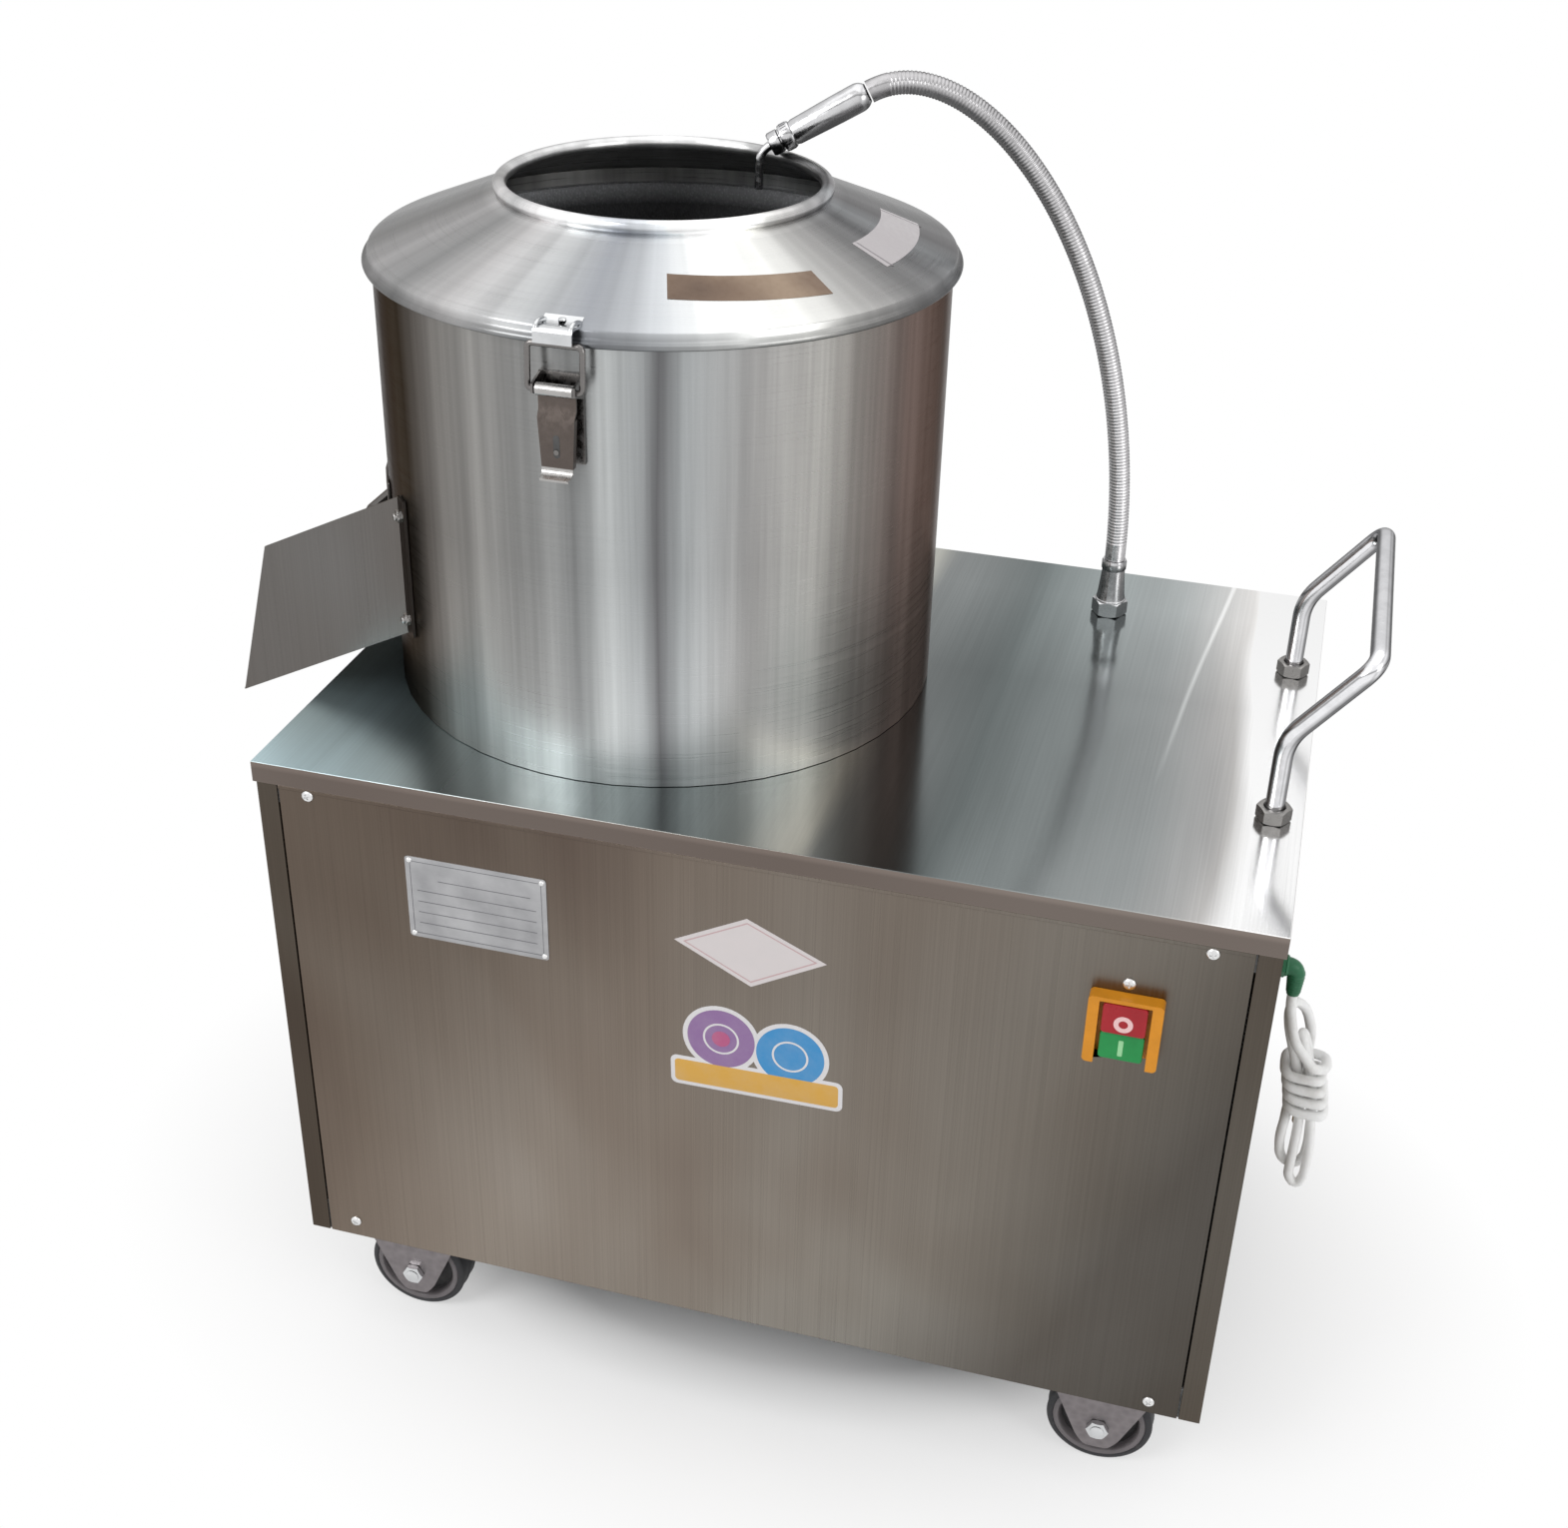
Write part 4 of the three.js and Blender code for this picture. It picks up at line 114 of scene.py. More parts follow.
# The cord's route from the gland through the hank to the plug.
ROUTE = [at(x, y, z) for x, y, z in (
    (361.5, -150.0, 414.7), (361.5, -150.0, 407.7), (361.8, -151.1, 403.7), (362.8, -153.7, 399.0),
    (364.2, -157.2, 393.9), (365.9, -160.7, 389.0), (367.9, -163.5, 384.7), (370.1, -164.7, 381.3),
    (374.4, -165.1, 375.9), (376.5, -165.3, 373.2), (378.4, -165.4, 370.9), (380.3, -165.4, 368.5),
    (382.2, -164.9, 366.1), (383.9, -163.5, 364.1), (385.5, -161.6, 362.3), (387.3, -159.6, 360.9),
    (389.8, -157.9, 360.6), (391.7, -155.0, 360.2), (392.0, -146.4, 359.8), (390.8, -142.9, 359.4),
    (388.6, -140.8, 359.0), (386.2, -139.4, 358.5), (384.1, -138.5, 358.1), (381.4, -138.0, 357.7),
    (372.9, -137.9, 357.3), (369.5, -138.3, 356.9), (367.5, -139.1, 356.5), (366.2, -140.3, 356.1),
    (365.4, -142.1, 355.7), (365.0, -145.0, 355.3), (365.1, -153.6, 354.9), (365.5, -157.1, 354.5),
    (366.4, -159.2, 354.1), (367.7, -160.6, 353.7), (369.7, -161.5, 353.2), (372.6, -162.0, 352.8),
    (381.3, -162.1, 352.4), (384.9, -161.7, 352.0), (387.1, -161.0, 351.6), (388.6, -159.7, 351.2),
    (389.7, -157.9, 350.8), (390.2, -155.0, 350.4), (390.4, -146.4, 350.0), (390.2, -142.9, 349.6),
    (389.5, -140.8, 349.2), (388.3, -139.4, 348.8), (386.6, -138.5, 348.3), (383.8, -138.0, 347.9),
    (375.3, -137.9, 347.5), (371.9, -138.3, 347.1), (369.9, -139.1, 346.7), (368.6, -140.3, 346.3),
    (367.7, -142.1, 345.9), (367.3, -145.0, 345.5), (367.4, -153.6, 345.1), (367.8, -157.1, 344.7),
    (368.7, -159.2, 344.3), (370.0, -160.6, 343.8), (371.9, -161.5, 343.4), (374.8, -162.0, 343.0),
    (383.5, -162.1, 342.6), (387.1, -161.7, 342.2), (389.3, -161.0, 341.8), (390.8, -159.7, 341.4),
    (391.8, -157.9, 341.0), (392.4, -155.0, 340.6), (392.5, -146.4, 340.2), (392.3, -142.9, 339.8),
    (391.6, -140.8, 339.4), (390.4, -139.4, 338.9), (388.7, -138.5, 338.5), (385.9, -138.0, 338.1),
    (377.4, -137.9, 337.7), (374.0, -138.3, 337.3), (371.9, -139.1, 336.9), (370.6, -140.3, 336.5),
    (369.7, -142.1, 336.1), (369.3, -145.0, 335.7), (369.3, -153.6, 335.3), (369.8, -157.1, 334.9),
    (370.6, -159.2, 334.5), (371.9, -160.6, 334.1), (373.8, -161.5, 333.6), (376.7, -162.0, 333.2),
    (385.4, -162.1, 332.8), (389.0, -161.7, 332.4), (391.2, -161.0, 332.0), (392.6, -159.7, 331.6),
    (393.6, -157.9, 331.2), (394.2, -155.0, 330.8), (394.3, -146.4, 330.4), (394.1, -142.9, 330.0),
    (393.3, -140.8, 329.6), (392.2, -139.4, 329.1), (390.4, -138.5, 328.7), (387.6, -138.0, 328.3),
    (379.1, -137.9, 327.9), (375.6, -138.3, 327.5), (373.6, -139.1, 327.1), (372.3, -140.3, 326.7),
    (371.4, -142.1, 326.3), (371.0, -145.0, 325.9), (370.9, -153.6, 325.5), (371.4, -157.1, 325.1),
    (372.2, -159.2, 324.7), (373.5, -160.6, 324.2), (375.4, -161.5, 323.8), (378.3, -162.0, 323.4),
    (386.9, -162.1, 323.0), (390.5, -161.7, 322.6), (392.7, -161.0, 322.2), (394.1, -159.7, 321.8),
    (395.1, -157.9, 321.4), (395.7, -155.0, 321.0), (395.8, -146.4, 320.6), (395.5, -142.9, 320.2),
    (394.8, -140.8, 319.8), (393.6, -139.4, 319.4), (391.8, -138.5, 318.9), (389.0, -138.0, 318.5),
    (380.4, -137.9, 318.1), (377.0, -138.3, 317.7), (374.9, -139.1, 317.3), (373.6, -140.3, 316.9),
    (372.7, -142.1, 316.5), (372.7, -142.1, 316.5), (371.8, -149.8, 313.9), (371.3, -155.4, 308.4),
    (370.7, -155.2, 300.2), (370.7, -154.1, 292.1), (371.4, -152.6, 284.2), (372.9, -150.8, 276.3),
    (376.8, -148.7, 269.5), (383.5, -146.6, 266.5), (388.9, -146.0, 272.2), (390.2, -145.9, 280.2),
    (390.4, -145.8, 288.4), (390.0, -145.8, 296.6), (389.4, -145.9, 304.8), (388.7, -145.9, 312.9),
    (387.8, -145.9, 321.0), (386.6, -145.9, 329.1), (385.2, -145.9, 337.1), (383.5, -146.0, 345.2),
    (381.6, -146.1, 353.2), (379.6, -145.8, 361.1), (377.4, -144.4, 368.8), (374.9, -145.0, 376.6),
    (373.1, -150.4, 381.8), (375.1, -155.2, 375.9), (377.6, -155.5, 368.1), (379.8, -154.1, 360.4),
    (381.8, -153.9, 352.4), (383.7, -154.0, 344.4), (385.3, -154.1, 336.4), (386.7, -154.1, 328.4),
    (387.7, -153.9, 320.2), (388.7, -154.0, 312.0), (389.8, -154.8, 304.1), (390.7, -155.8, 296.0),
    (391.2, -156.0, 287.8), (391.4, -156.1, 279.7), (391.4, -156.0, 271.4), (390.8, -156.0, 263.3),
    (386.7, -156.0, 256.6), (381.4, -156.0, 261.8), (380.6, -156.0, 269.9), (380.6, -156.1, 278.1),
    (380.8, -156.0, 286.3), (380.9, -155.8, 294.5), (381.0, -155.0, 302.6), (380.7, -154.0, 310.6),
    (379.8, -153.9, 318.9), (378.7, -154.0, 327.0), (377.3, -154.1, 335.0), (375.7, -154.2, 343.1),
    (373.9, -154.2, 351.0), (371.9, -154.2, 359.0), (369.7, -154.1, 366.8), (367.2, -154.0, 374.6),
    (364.7, -153.2, 382.4), (362.6, -150.7, 389.9), (361.9, -145.9, 396.3), (364.2, -138.8, 398.2),
    (368.0, -132.8, 394.1), (372.1, -128.6, 388.4), (375.2, -125.9, 381.4), (377.6, -124.4, 373.6),
    (379.4, -123.3, 365.7), (380.1, -122.9, 357.7), (380.0, -123.0, 349.5), (380.0, -123.0, 341.3),
)]


# Finishes. Each one is a Principled shader whose colour, roughness and relief come from nodes.

def shade(colour, share):
    return tuple(min(1, c * share) for c in colour)


class Nodes:
    def __init__(self, tree):
        self.tree = tree

    def fill(self, node, inputs):
        for name, value in inputs.items():
            if isinstance(value, bpy.types.NodeSocket):
                self.tree.links.new(value, node.inputs[name])
            else:
                node.inputs[name].default_value = value

    def node(self, kind, inputs, out=0, **settings):
        """Adds a node, with its inputs as values or links, and returns one of its outputs."""
        node = self.tree.nodes.new("ShaderNode" + kind)
        for name, value in settings.items():
            setattr(node, name, value)
        self.fill(node, inputs)
        return node.outputs[out]

    def maths(self, operation, a, b=0.0):
        return self.node("Math", {0: a, 1: b}, operation=operation)

    def seen(self, *rays):
        """One for the given kinds of ray, and nothing for the others."""
        out, *others = [self.node("LightPath", {}, f"Is {ray} Ray") for ray in rays]
        for other in others:
            out = self.maths("MAXIMUM", out, other)
        return out


class Paint(Nodes):
    def __init__(self, name, colour, metallic=0.0, roughness=0.5, **more):
        self.material = bpy.data.materials.new(name)
        self.material.use_nodes = True
        super().__init__(self.material.node_tree)
        self.shader = self.tree.nodes["Principled BSDF"]
        self.put(Base_Color=(*colour, 1), Metallic=metallic, Roughness=roughness, **more)
        self.coords = self.node("TexCoord", {}, "Object")
        self.relief = None

    def put(self, **inputs):
        """Sets or links inputs of the Principled shader."""
        self.fill(self.shader, {name.replace("_", " "): value for name, value in inputs.items()})

    def vector(self, operation, *values, out="Vector"):
        return self.node("VectorMath", dict(enumerate(values)), out, operation=operation)

    def scaled(self, x, y, z, turn=(0, 0, 0)):
        return self.node("Mapping", {"Vector": self.coords, "Scale": (x, y, z), "Rotation": turn})

    def along(self, axis):
        return self.node("SeparateXYZ", {0: self.coords}, axis)

    def normal(self, axis):
        return self.node("SeparateXYZ", {0: self.node("TexCoord", {}, "Normal")}, axis)

    def round_barrel(self, height):
        """The direction from the barrel's axis, so that a texture changes only round it, and a little with height."""
        away = self.vector("SUBTRACT", self.coords, at(BARREL_X, BARREL_Y, 0))
        unit = self.vector("NORMALIZE", self.vector("MULTIPLY", away, (1, 1, 0)))
        return self.vector("ADD", unit, self.vector("MULTIPLY", self.coords, (0, 0, height)))

    def turn_share(self):
        """How far round the barrel's axis a point is: 0.5 at +X, 0.25 at the front."""
        middle = at(BARREL_X, BARREL_Y, 0)
        across, back = [self.maths("SUBTRACT", self.along(axis), getattr(middle, axis.lower())) for axis in "XY"]
        return self.maths("ADD", self.maths("DIVIDE", self.maths("ARCTAN2", back, across), 2 * math.pi), 0.5)

    def noise(self, source, scale, detail=3.0, rough=0.5, distortion=0.0):
        return self.node("TexNoise", {"Vector": source, "Scale": scale, "Detail": detail, "Roughness": rough,
                                      "Distortion": distortion}, "Fac")

    def cells(self, scale):
        return self.node("TexVoronoi", {"Vector": self.coords, "Scale": scale}, "Distance", feature="F1")

    def ramp(self, fac, *stops):
        """Colours along a number. A stop of one number is a grey."""
        out = self.node("ValToRGB", {"Fac": fac}, "Color")
        points = out.node.color_ramp.elements
        while len(points) < len(stops):
            points.new(0.5)
        for point, (place, colour) in zip(points, stops):
            point.position = place
            point.color = (*(colour if isinstance(colour, tuple) else (colour,) * 3), 1)
        return out

    def spread(self, fac, low, high, from_low=0.0, from_high=1.0):
        return self.node("MapRange", {"Value": fac, "From Min": from_low, "From Max": from_high, "To Min": low,
                                      "To Max": high}, "Result")

    def swing(self, noise, low, high):
        """A noise, which runs from about 0.3 to 0.7, spread over a range."""
        return self.spread(noise, low, high, 0.3, 0.7)

    def mixed(self, fac, low, high, mode="MIX"):
        return self.node("Mix", {"Factor": fac, "A": low, "B": high}, "Result", data_type="RGBA", blend_type=mode)

    def times(self, tone, *greys):
        """A tone multiplied by numbers that may go over one."""
        for grey in greys:
            tone = self.mixed(1, tone, grey, "MULTIPLY")
        return tone

    def streaked(self, tone, *streaks):
        """A tone made lighter and darker by noises round a half, each with its depth."""
        return self.times(tone, *[self.swing(noise, 1 - depth, 1 + depth) for noise, depth in streaks])

    def rough(self, noise, low, high):
        self.put(Roughness=self.swing(noise, low, high))

    def bump(self, source, strength, distance):
        inputs = {"Height": source, "Strength": strength, "Distance": distance}
        if self.relief:
            inputs["Normal"] = self.relief
        self.relief = self.node("Bump", inputs, "Normal")
        self.put(Normal=self.relief)

    def grain_round(self):
        """Brushed round an upright axis, so that highlights run up and down."""
        tangent = self.node("Tangent", {}, direction_type="RADIAL", axis="Z")
        self.put(Tangent=tangent, Anisotropic=0.75, Anisotropic_Rotation=0.25)


def barrel_steel():
    p = Paint("barrel_steel", (0.35, 0.35, 0.34), 1.0, 0.3, Specular_Tint=(0.3, 0.28, 0.27, 1))
    # Painted reflections: light and dark upright bands round the barrel, by how far round its axis a point is.
    painted_reflection_bands = p.ramp(
        p.maths("ADD", p.turn_share(), p.spread(p.noise(p.coords, 3, 1), -0.006, 0.006)),
        (0.0, (0.13, 0.12, 0.115)), (0.085, (0.062, 0.056, 0.052)), (0.13, (0.105, 0.097, 0.087)),
        (0.155, (0.155, 0.145, 0.135)), (0.185, (0.27, 0.262, 0.25)), (0.255, (0.25, 0.255, 0.255)),
        (0.272, (0.43, 0.445, 0.445)), (0.287, (0.40, 0.415, 0.42)), (0.297, (0.145, 0.145, 0.15)),
        (0.309, (0.36, 0.375, 0.38)), (0.345, (0.31, 0.305, 0.30)), (0.385, (0.41, 0.40, 0.38)),
        (0.405, (0.235, 0.22, 0.205)), (0.45, (0.20, 0.155, 0.14)), (0.495, (0.22, 0.175, 0.16)),
        (0.52, (0.34, 0.32, 0.31)), (0.60, (0.42, 0.42, 0.41)), (0.66, (0.17, 0.165, 0.16)),
        (0.72, (0.44, 0.45, 0.45)), (0.80, (0.26, 0.26, 0.255)), (0.86, (0.47, 0.47, 0.46)),
        (0.94, (0.24, 0.235, 0.23)), (1.0, (0.13, 0.12, 0.115)))
    wide = p.noise(p.round_barrel(0.05), 7, 3, 0.55)
    fine = p.noise(p.round_barrel(0.1), 38, 3, 0.6)
    lines = p.noise(p.scaled(5, 5, 900), 1, 4, 0.7)
    # Painted light: the barrel is lighter towards its foot.
    painted_light_foot = p.spread(p.along("Z"), 1.5, 0.96, 0.53, 0.68)
    p.put(Base_Color=p.times(p.streaked(painted_reflection_bands, (wide, 0.26), (fine, 0.10), (lines, 0.02)), painted_light_foot))
    p.rough(lines, 0.25, 0.37)
    p.bump(lines, 0.006, 0.0003)
    p.bump(p.noise(p.coords, 5, 2), 0.08, 0.004)
    p.grain_round()
    return p.material


def lid_steel():
    p = Paint("lid_steel", (0.48, 0.49, 0.49), 1.0, 0.3, Specular_Tint=(0.55, 0.55, 0.55, 1))
    # Painted reflections: bright and dark sectors round the lid, by how far round the barrel's axis a point is.
    painted_reflection_bands = p.ramp(
        p.turn_share(),
        (0.0, 0.40), (0.06, (0.30, 0.295, 0.29)), (0.10, (0.50, 0.49, 0.49)), (0.14, 0.30),
        (0.18, (0.60, 0.59, 0.59)), (0.225, (0.50, 0.51, 0.515)), (0.26, (0.25, 0.26, 0.28)),
        (0.30, (0.44, 0.455, 0.47)), (0.335, (0.86, 0.87, 0.86)), (0.37, (0.62, 0.62, 0.60)),
        (0.42, (0.30, 0.295, 0.29)), (0.475, (0.26, 0.26, 0.265)), (0.505, (0.36, 0.37, 0.38)),
        (0.53, (0.20, 0.195, 0.20)), (0.62, 0.36), (0.70, 0.28), (0.80, 0.48), (0.90, 0.30), (1.0, 0.40))
    wide = p.noise(p.round_barrel(0.2), 6, 3, 0.55)
    rings = p.noise(p.scaled(3, 3, 1100), 1, 3, 0.7)
    # Painted highlight on the rolled mouth, and painted shade on the skirt below the bead.
    painted_highlight_mouth = p.spread(p.along("Z"), 1, 1.75, 0.870, 0.876)
    painted_shade_skirt = p.spread(p.along("Z"), 0.5, 1, 0.832, 0.839)
    p.put(Base_Color=p.times(p.streaked(painted_reflection_bands, (wide, 0.2), (rings, 0.05)), painted_highlight_mouth, painted_shade_skirt))
    p.rough(rings, 0.24, 0.36)
    p.bump(rings, 0.04, 0.0003)
    p.bump(p.noise(p.coords, 7, 2), 0.08, 0.004)
    p.grain_round()
    return p.material


def tabletop_steel():
    p = Paint("tabletop_steel", (0.25, 0.27, 0.27), 1.0, 0.2, Specular_Tint=(0.6, 0.6, 0.6, 1))
    cloud = p.noise(p.scaled(5.5, 1.1, 3, turn=(0, 0, 0.12)), 1, 3, 0.5, 0.6)
    bend = p.noise(p.scaled(0.3, 1.5, 1), 1, 1)
    reach = p.maths("ADD", p.along("X"), p.swing(cloud, -0.02, 0.02))
    reach = p.maths("ADD", reach, p.swing(bend, -0.03, 0.03))
    # Painted reflections and sheen: the top's tone changes from left to right, up to white at the far right.
    painted_sheen = p.ramp(
        p.spread(reach, 0, 1, -0.40, 0.40),
        (0.0, (0.56, 0.70, 0.73)), (0.14, (0.52, 0.66, 0.70)), (0.31, (0.34, 0.385, 0.39)),
        (0.50, (0.27, 0.295, 0.285)), (0.552, (0.36, 0.36, 0.33)), (0.572, (0.19, 0.20, 0.20)),
        (0.66, (0.145, 0.165, 0.165)), (0.74, (0.25, 0.275, 0.275)), (0.80, (0.33, 0.35, 0.35)),
        (0.847, (0.42, 0.42, 0.415)), (0.872, (0.50, 0.49, 0.48)), (0.898, 1.0))
    # Painted light: the top is lighter towards the back.
    painted_light_back = p.spread(p.along("Y"), 1.0, 1.5, 0.03, 0.18)
    # A painted highlight: a thin bright line along a slant, fading out towards the front.
    highlight_slant = p.maths("ADD", p.maths("MULTIPLY", p.along("Y"), -0.085), p.along("X"))
    highlight_slant = p.maths("ADD", highlight_slant, p.swing(bend, -0.008, 0.008))
    line = p.spread(p.maths("ABSOLUTE", p.maths("SUBTRACT", highlight_slant, 0.269)), 0.6, 0, 0, 0.0024)
    line = p.maths("MULTIPLY", line, p.spread(p.along("Y"), 0, 1, -0.10, 0.02))
    painted_sheen = p.times(painted_sheen, painted_light_back, p.maths("ADD", line, 1.0))
    hair = p.noise(p.scaled(900, 4, 900), 1, 3, 0.6)
    flat = p.streaked(painted_sheen, (p.noise(p.scaled(11, 1.6, 2), 1, 3, 0.5, 0.4), 0.16), (hair, 0.05))
    # Painted shade on the lip's upright faces, darker and browner than the lying top, with painted highlights along
    # its lower bend and its top.
    edge = p.ramp(p.noise(p.scaled(2, 2, 2), 1, 2), (0.3, (0.15, 0.12, 0.105)), (0.7, (0.22, 0.19, 0.17)))
    rise = p.spread(p.along("Z"), 0, 1, 0.505, 0.522)
    edge = p.times(edge, p.ramp(rise, (0.0, 1.6), (0.12, 0.95), (0.7, 0.95), (0.84, 1.2), (1.0, 1.3)))
    lying = p.spread(p.normal("Z"), 0, 1, 0.35, 0.9)
    dull_left = p.spread(p.along("X"), 0.26, 0, -0.30, -0.14)
    p.put(Base_Color=p.mixed(lying, edge, flat), Roughness=p.maths("ADD", p.swing(cloud, 0.12, 0.2), dull_left))
    p.bump(hair, 0.02, 0.0003)
    p.bump(p.noise(p.scaled(5, 3, 1), 1.3, 2, 0.5), 0.16, 0.006)
    return p.material


def panel_steel(name, light=(1.0, 1.0, 1.0), front=False):
    """Brown-tinted sheet. The front panel has a painted sweep of light, lighter towards the bottom, and the other
    sheets get painted shade at their front edge. The light argument multiplies every tone, for darker copies of this
    steel.
    """
    p = Paint(name, (0.18, 0.155, 0.135), 1.0, 0.33, Specular_Tint=(0.35, 0.32, 0.3, 1))
    cloud = p.noise(p.scaled(2.6, 2.6, 1.9), 1, 3, 0.5, 0.5)
    stops = ((0.3, (0.125, 0.098, 0.082)), (0.42, (0.165, 0.138, 0.115)), (0.55, (0.195, 0.172, 0.148)),
             (0.72, (0.235, 0.218, 0.198)))
    tone = p.ramp(cloud, *[(place, tuple(c * share for c, share in zip(colour, light))) for place, colour in stops])
    hair = p.noise(p.scaled(1200, 1200, 3), 1, 3, 0.6)
    tone = p.streaked(tone, (hair, 0.08))
    if not front:
        # Painted shade: darker at the sheet's front edge.
        tone = p.times(tone, p.spread(p.along("Y"), 0.62, 1.0, -0.252, -0.240))
    else:
        # Painted light: darker at the left and right along a slant, lightest in the middle, and lighter towards the
        # bottom.
        lean = p.maths("SUBTRACT", p.along("X"), p.maths("MULTIPLY", p.along("Z"), 0.45))
        painted_light_sweep = p.ramp(p.spread(lean, 0, 1, -0.56, 0.28), (0.0, (0.68, 0.63, 0.60)), (0.20, (0.74, 0.71, 0.69)),
                      (0.38, (1.0, 0.98, 0.97)), (0.62, (0.96, 0.98, 0.99)), (0.74, (0.84, 0.87, 0.88)),
                      (0.88, 0.38), (1.0, 0.30))
        tone = p.times(tone, painted_light_sweep, p.spread(p.along("Z"), 1.45, 1.12, 0.16, 0.42))
    p.put(Base_Color=tone)
    p.rough(hair, 0.26, 0.38)
    p.bump(hair, 0.03, 0.0003)
    p.bump(p.noise(p.coords, 3.5, 2), 0.12, 0.006)
    return p.material


def chrome(name, colour, roughness=0.12, contrast=0.0, edge=1.0, painted_light_by_height=None):
    """Bright metal. The contrast is how dark its painted reflections are: dark stripes where it faces sideways or
    half up.
    """
    p = Paint(name, colour, 1.0, roughness, Specular_Tint=(edge, edge, edge, 1))
    tone = p.ramp(p.noise(p.coords, 90, 3, 0.6), (0.35, shade(colour, 0.9)), (0.6, colour))
    if contrast:
        # Painted reflections: dark stripes by the direction the surface faces.
        dim, half = 1 - contrast, 1 - contrast * 0.45
        rise = p.ramp(p.spread(p.normal("Z"), 0, 1, -1, 1), (0.0, dim), (0.36, dim), (0.45, half), (0.52, 1),
                      (0.66, 1), (0.70, dim), (0.74, 1), (1.0, 1))
        side = p.ramp(p.spread(p.normal("X"), 0, 1, -1, 1), (0.0, half), (0.10, dim), (0.24, 1), (0.62, 1),
                      (0.70, half), (0.78, 1), (0.90, dim), (1.0, half))
        tone = p.times(tone, rise, side)
    if painted_light_by_height:
        # Painted light: the tone changes with height.
        tone = p.times(tone, p.spread(p.along("Z"), *painted_light_by_height))
    p.put(Base_Color=tone)
    p.rough(p.noise(p.coords, 260, 3, 0.6), roughness * 0.6, roughness * 1.7)
    p.bump(p.noise(p.coords, 140, 2), 0.06, 0.0004)
    return p.material


def zinc(name, colour):
    p = Paint(name, colour, 1.0, 0.42)
    p.put(Base_Color=p.ramp(p.cells(170), (0.1, shade(colour, 0.88)), (0.55, colour), (0.9, shade(colour, 1.1))))
    p.rough(p.noise(p.coords, 120, 3), 0.32, 0.55)
    p.bump(p.noise(p.coords, 400, 3), 0.12, 0.0004)
    return p.material


def grit(name, colour, contrast, depth=0.9, painted_shade_share=1.0):
    """Abrasive grains, with painted shade below the band under the lid: the last argument is how bright they are
    there.
    """
    p = Paint(name, colour, 0.0, 0.85, Specular_IOR_Level=0.5)
    grains = p.cells(520)
    tone = p.ramp(grains, (0.05, shade(colour, 1 + 1.6 * contrast)), (0.35, colour),
                  (0.8, shade(colour, 1 - 0.5 * contrast)))
    # Painted shade: darker below the band under the lid.
    p.put(Base_Color=p.times(tone, p.spread(p.along("Z"), painted_shade_share, 1.0, 0.812, 0.824)))
    p.rough(p.noise(p.coords, 300, 3), 0.55, 0.95)
    p.bump(grains, depth, 0.0015)
    return p.material


def mottled(name, base, clouds, stops, unevenness, rough, grain, relief, **more):
    """A clouded finish. Clouds, unevenness and grain are the noises of its colour, roughness and relief."""
    p = Paint(name, *base, **more)
    p.put(Base_Color=p.ramp(p.noise(p.coords, *clouds), *stops))
    p.rough(p.noise(p.coords, *unevenness), *rough)
    p.bump(p.noise(p.coords, *grain), *relief)
    return p.material


def cast(name, colour, grain=420, depth=0.35):
    return mottled(name, (colour, 0.0, 0.55), (35, 4, 0.6), ((0.3, shade(colour, 0.7)), (0.7, shade(colour, 1.25))),
                   (80, 3), (0.42, 0.7), (grain, 4, 0.65), (depth, 0.0006), Specular_IOR_Level=0.4)


def rubber(name, colour):
    dust = (60, 5, 0.65)
    stops = ((0.35, colour), (0.62, shade(colour, 1.8)), (0.8, (0.09, 0.085, 0.08)))
    return mottled(name, (colour, 0.0, 0.6), dust, stops, dust, (0.42, 0.8), (520, 3), (0.15, 0.0004),
                   Specular_IOR_Level=0.45)


def plastic(name, colour, roughness=0.34, speck=0.12):
    stops = ((0.32, shade(colour, 1 - speck)), (0.68, shade(colour, 1 + speck * 0.7)))
    return mottled(name, (colour, 0.0, roughness), (45, 4, 0.6), stops, (120, 3),
                   (roughness * 0.75, roughness * 1.35), (900, 3), (0.06, 0.0003), Specular_IOR_Level=0.3)


def cord_sheath():
    grime = (38, 5, 0.65)
    stops = ((0.28, (0.74, 0.73, 0.71)), (0.45, (0.90, 0.90, 0.89)), (0.7, 0.96))
    return mottled("cord_sheath", ((0.78, 0.78, 0.77), 0.0, 0.42), grime, stops, grime, (0.36, 0.6), (700, 3),
                   (0.08, 0.0003), Specular_IOR_Level=0.5)


def plate_metal():
    p = Paint("plate_aluminium", (0.42, 0.42, 0.43), 1.0, 0.38)
    hair = p.noise(p.scaled(30, 30, 2600), 1, 3, 0.6)
    p.put(Base_Color=p.ramp(p.noise(p.coords, 40, 4), (0.3, (0.33, 0.33, 0.34)), (0.7, (0.47, 0.47, 0.48))))
    p.rough(hair, 0.3, 0.48)
    p.bump(hair, 0.08, 0.0003)
    return p.material


def print_on(name, colour, roughness=0.35):
    stops = ((0.3, tuple(min(1, c * 0.9 + 0.05) for c in colour)), (0.6, colour))
    return mottled(name, (colour, 0.0, roughness), (70, 4, 0.6), stops, (300, 2), (roughness * 0.8, roughness * 1.3),
                   (240, 2), (0.04, 0.0003), Specular_IOR_Level=0.5)


def strip_bronze():
    stops = ((0.35, (0.09, 0.058, 0.042)), (0.5, (0.17, 0.115, 0.08)), (0.65, (0.32, 0.24, 0.17)))
    return mottled("strip_bronze", ((0.35, 0.22, 0.12), 0.6, 0.35), (9, 3, 0.5), stops, (260, 2), (0.28, 0.5),
                   (500, 2), (0.05, 0.0003))


# Each finish by its short name, with the material slot of the pieces that have it.
FINISH = {}


def finishes(slot, **materials):
    FINISH.update({key: (material, slot) for key, material in materials.items()})


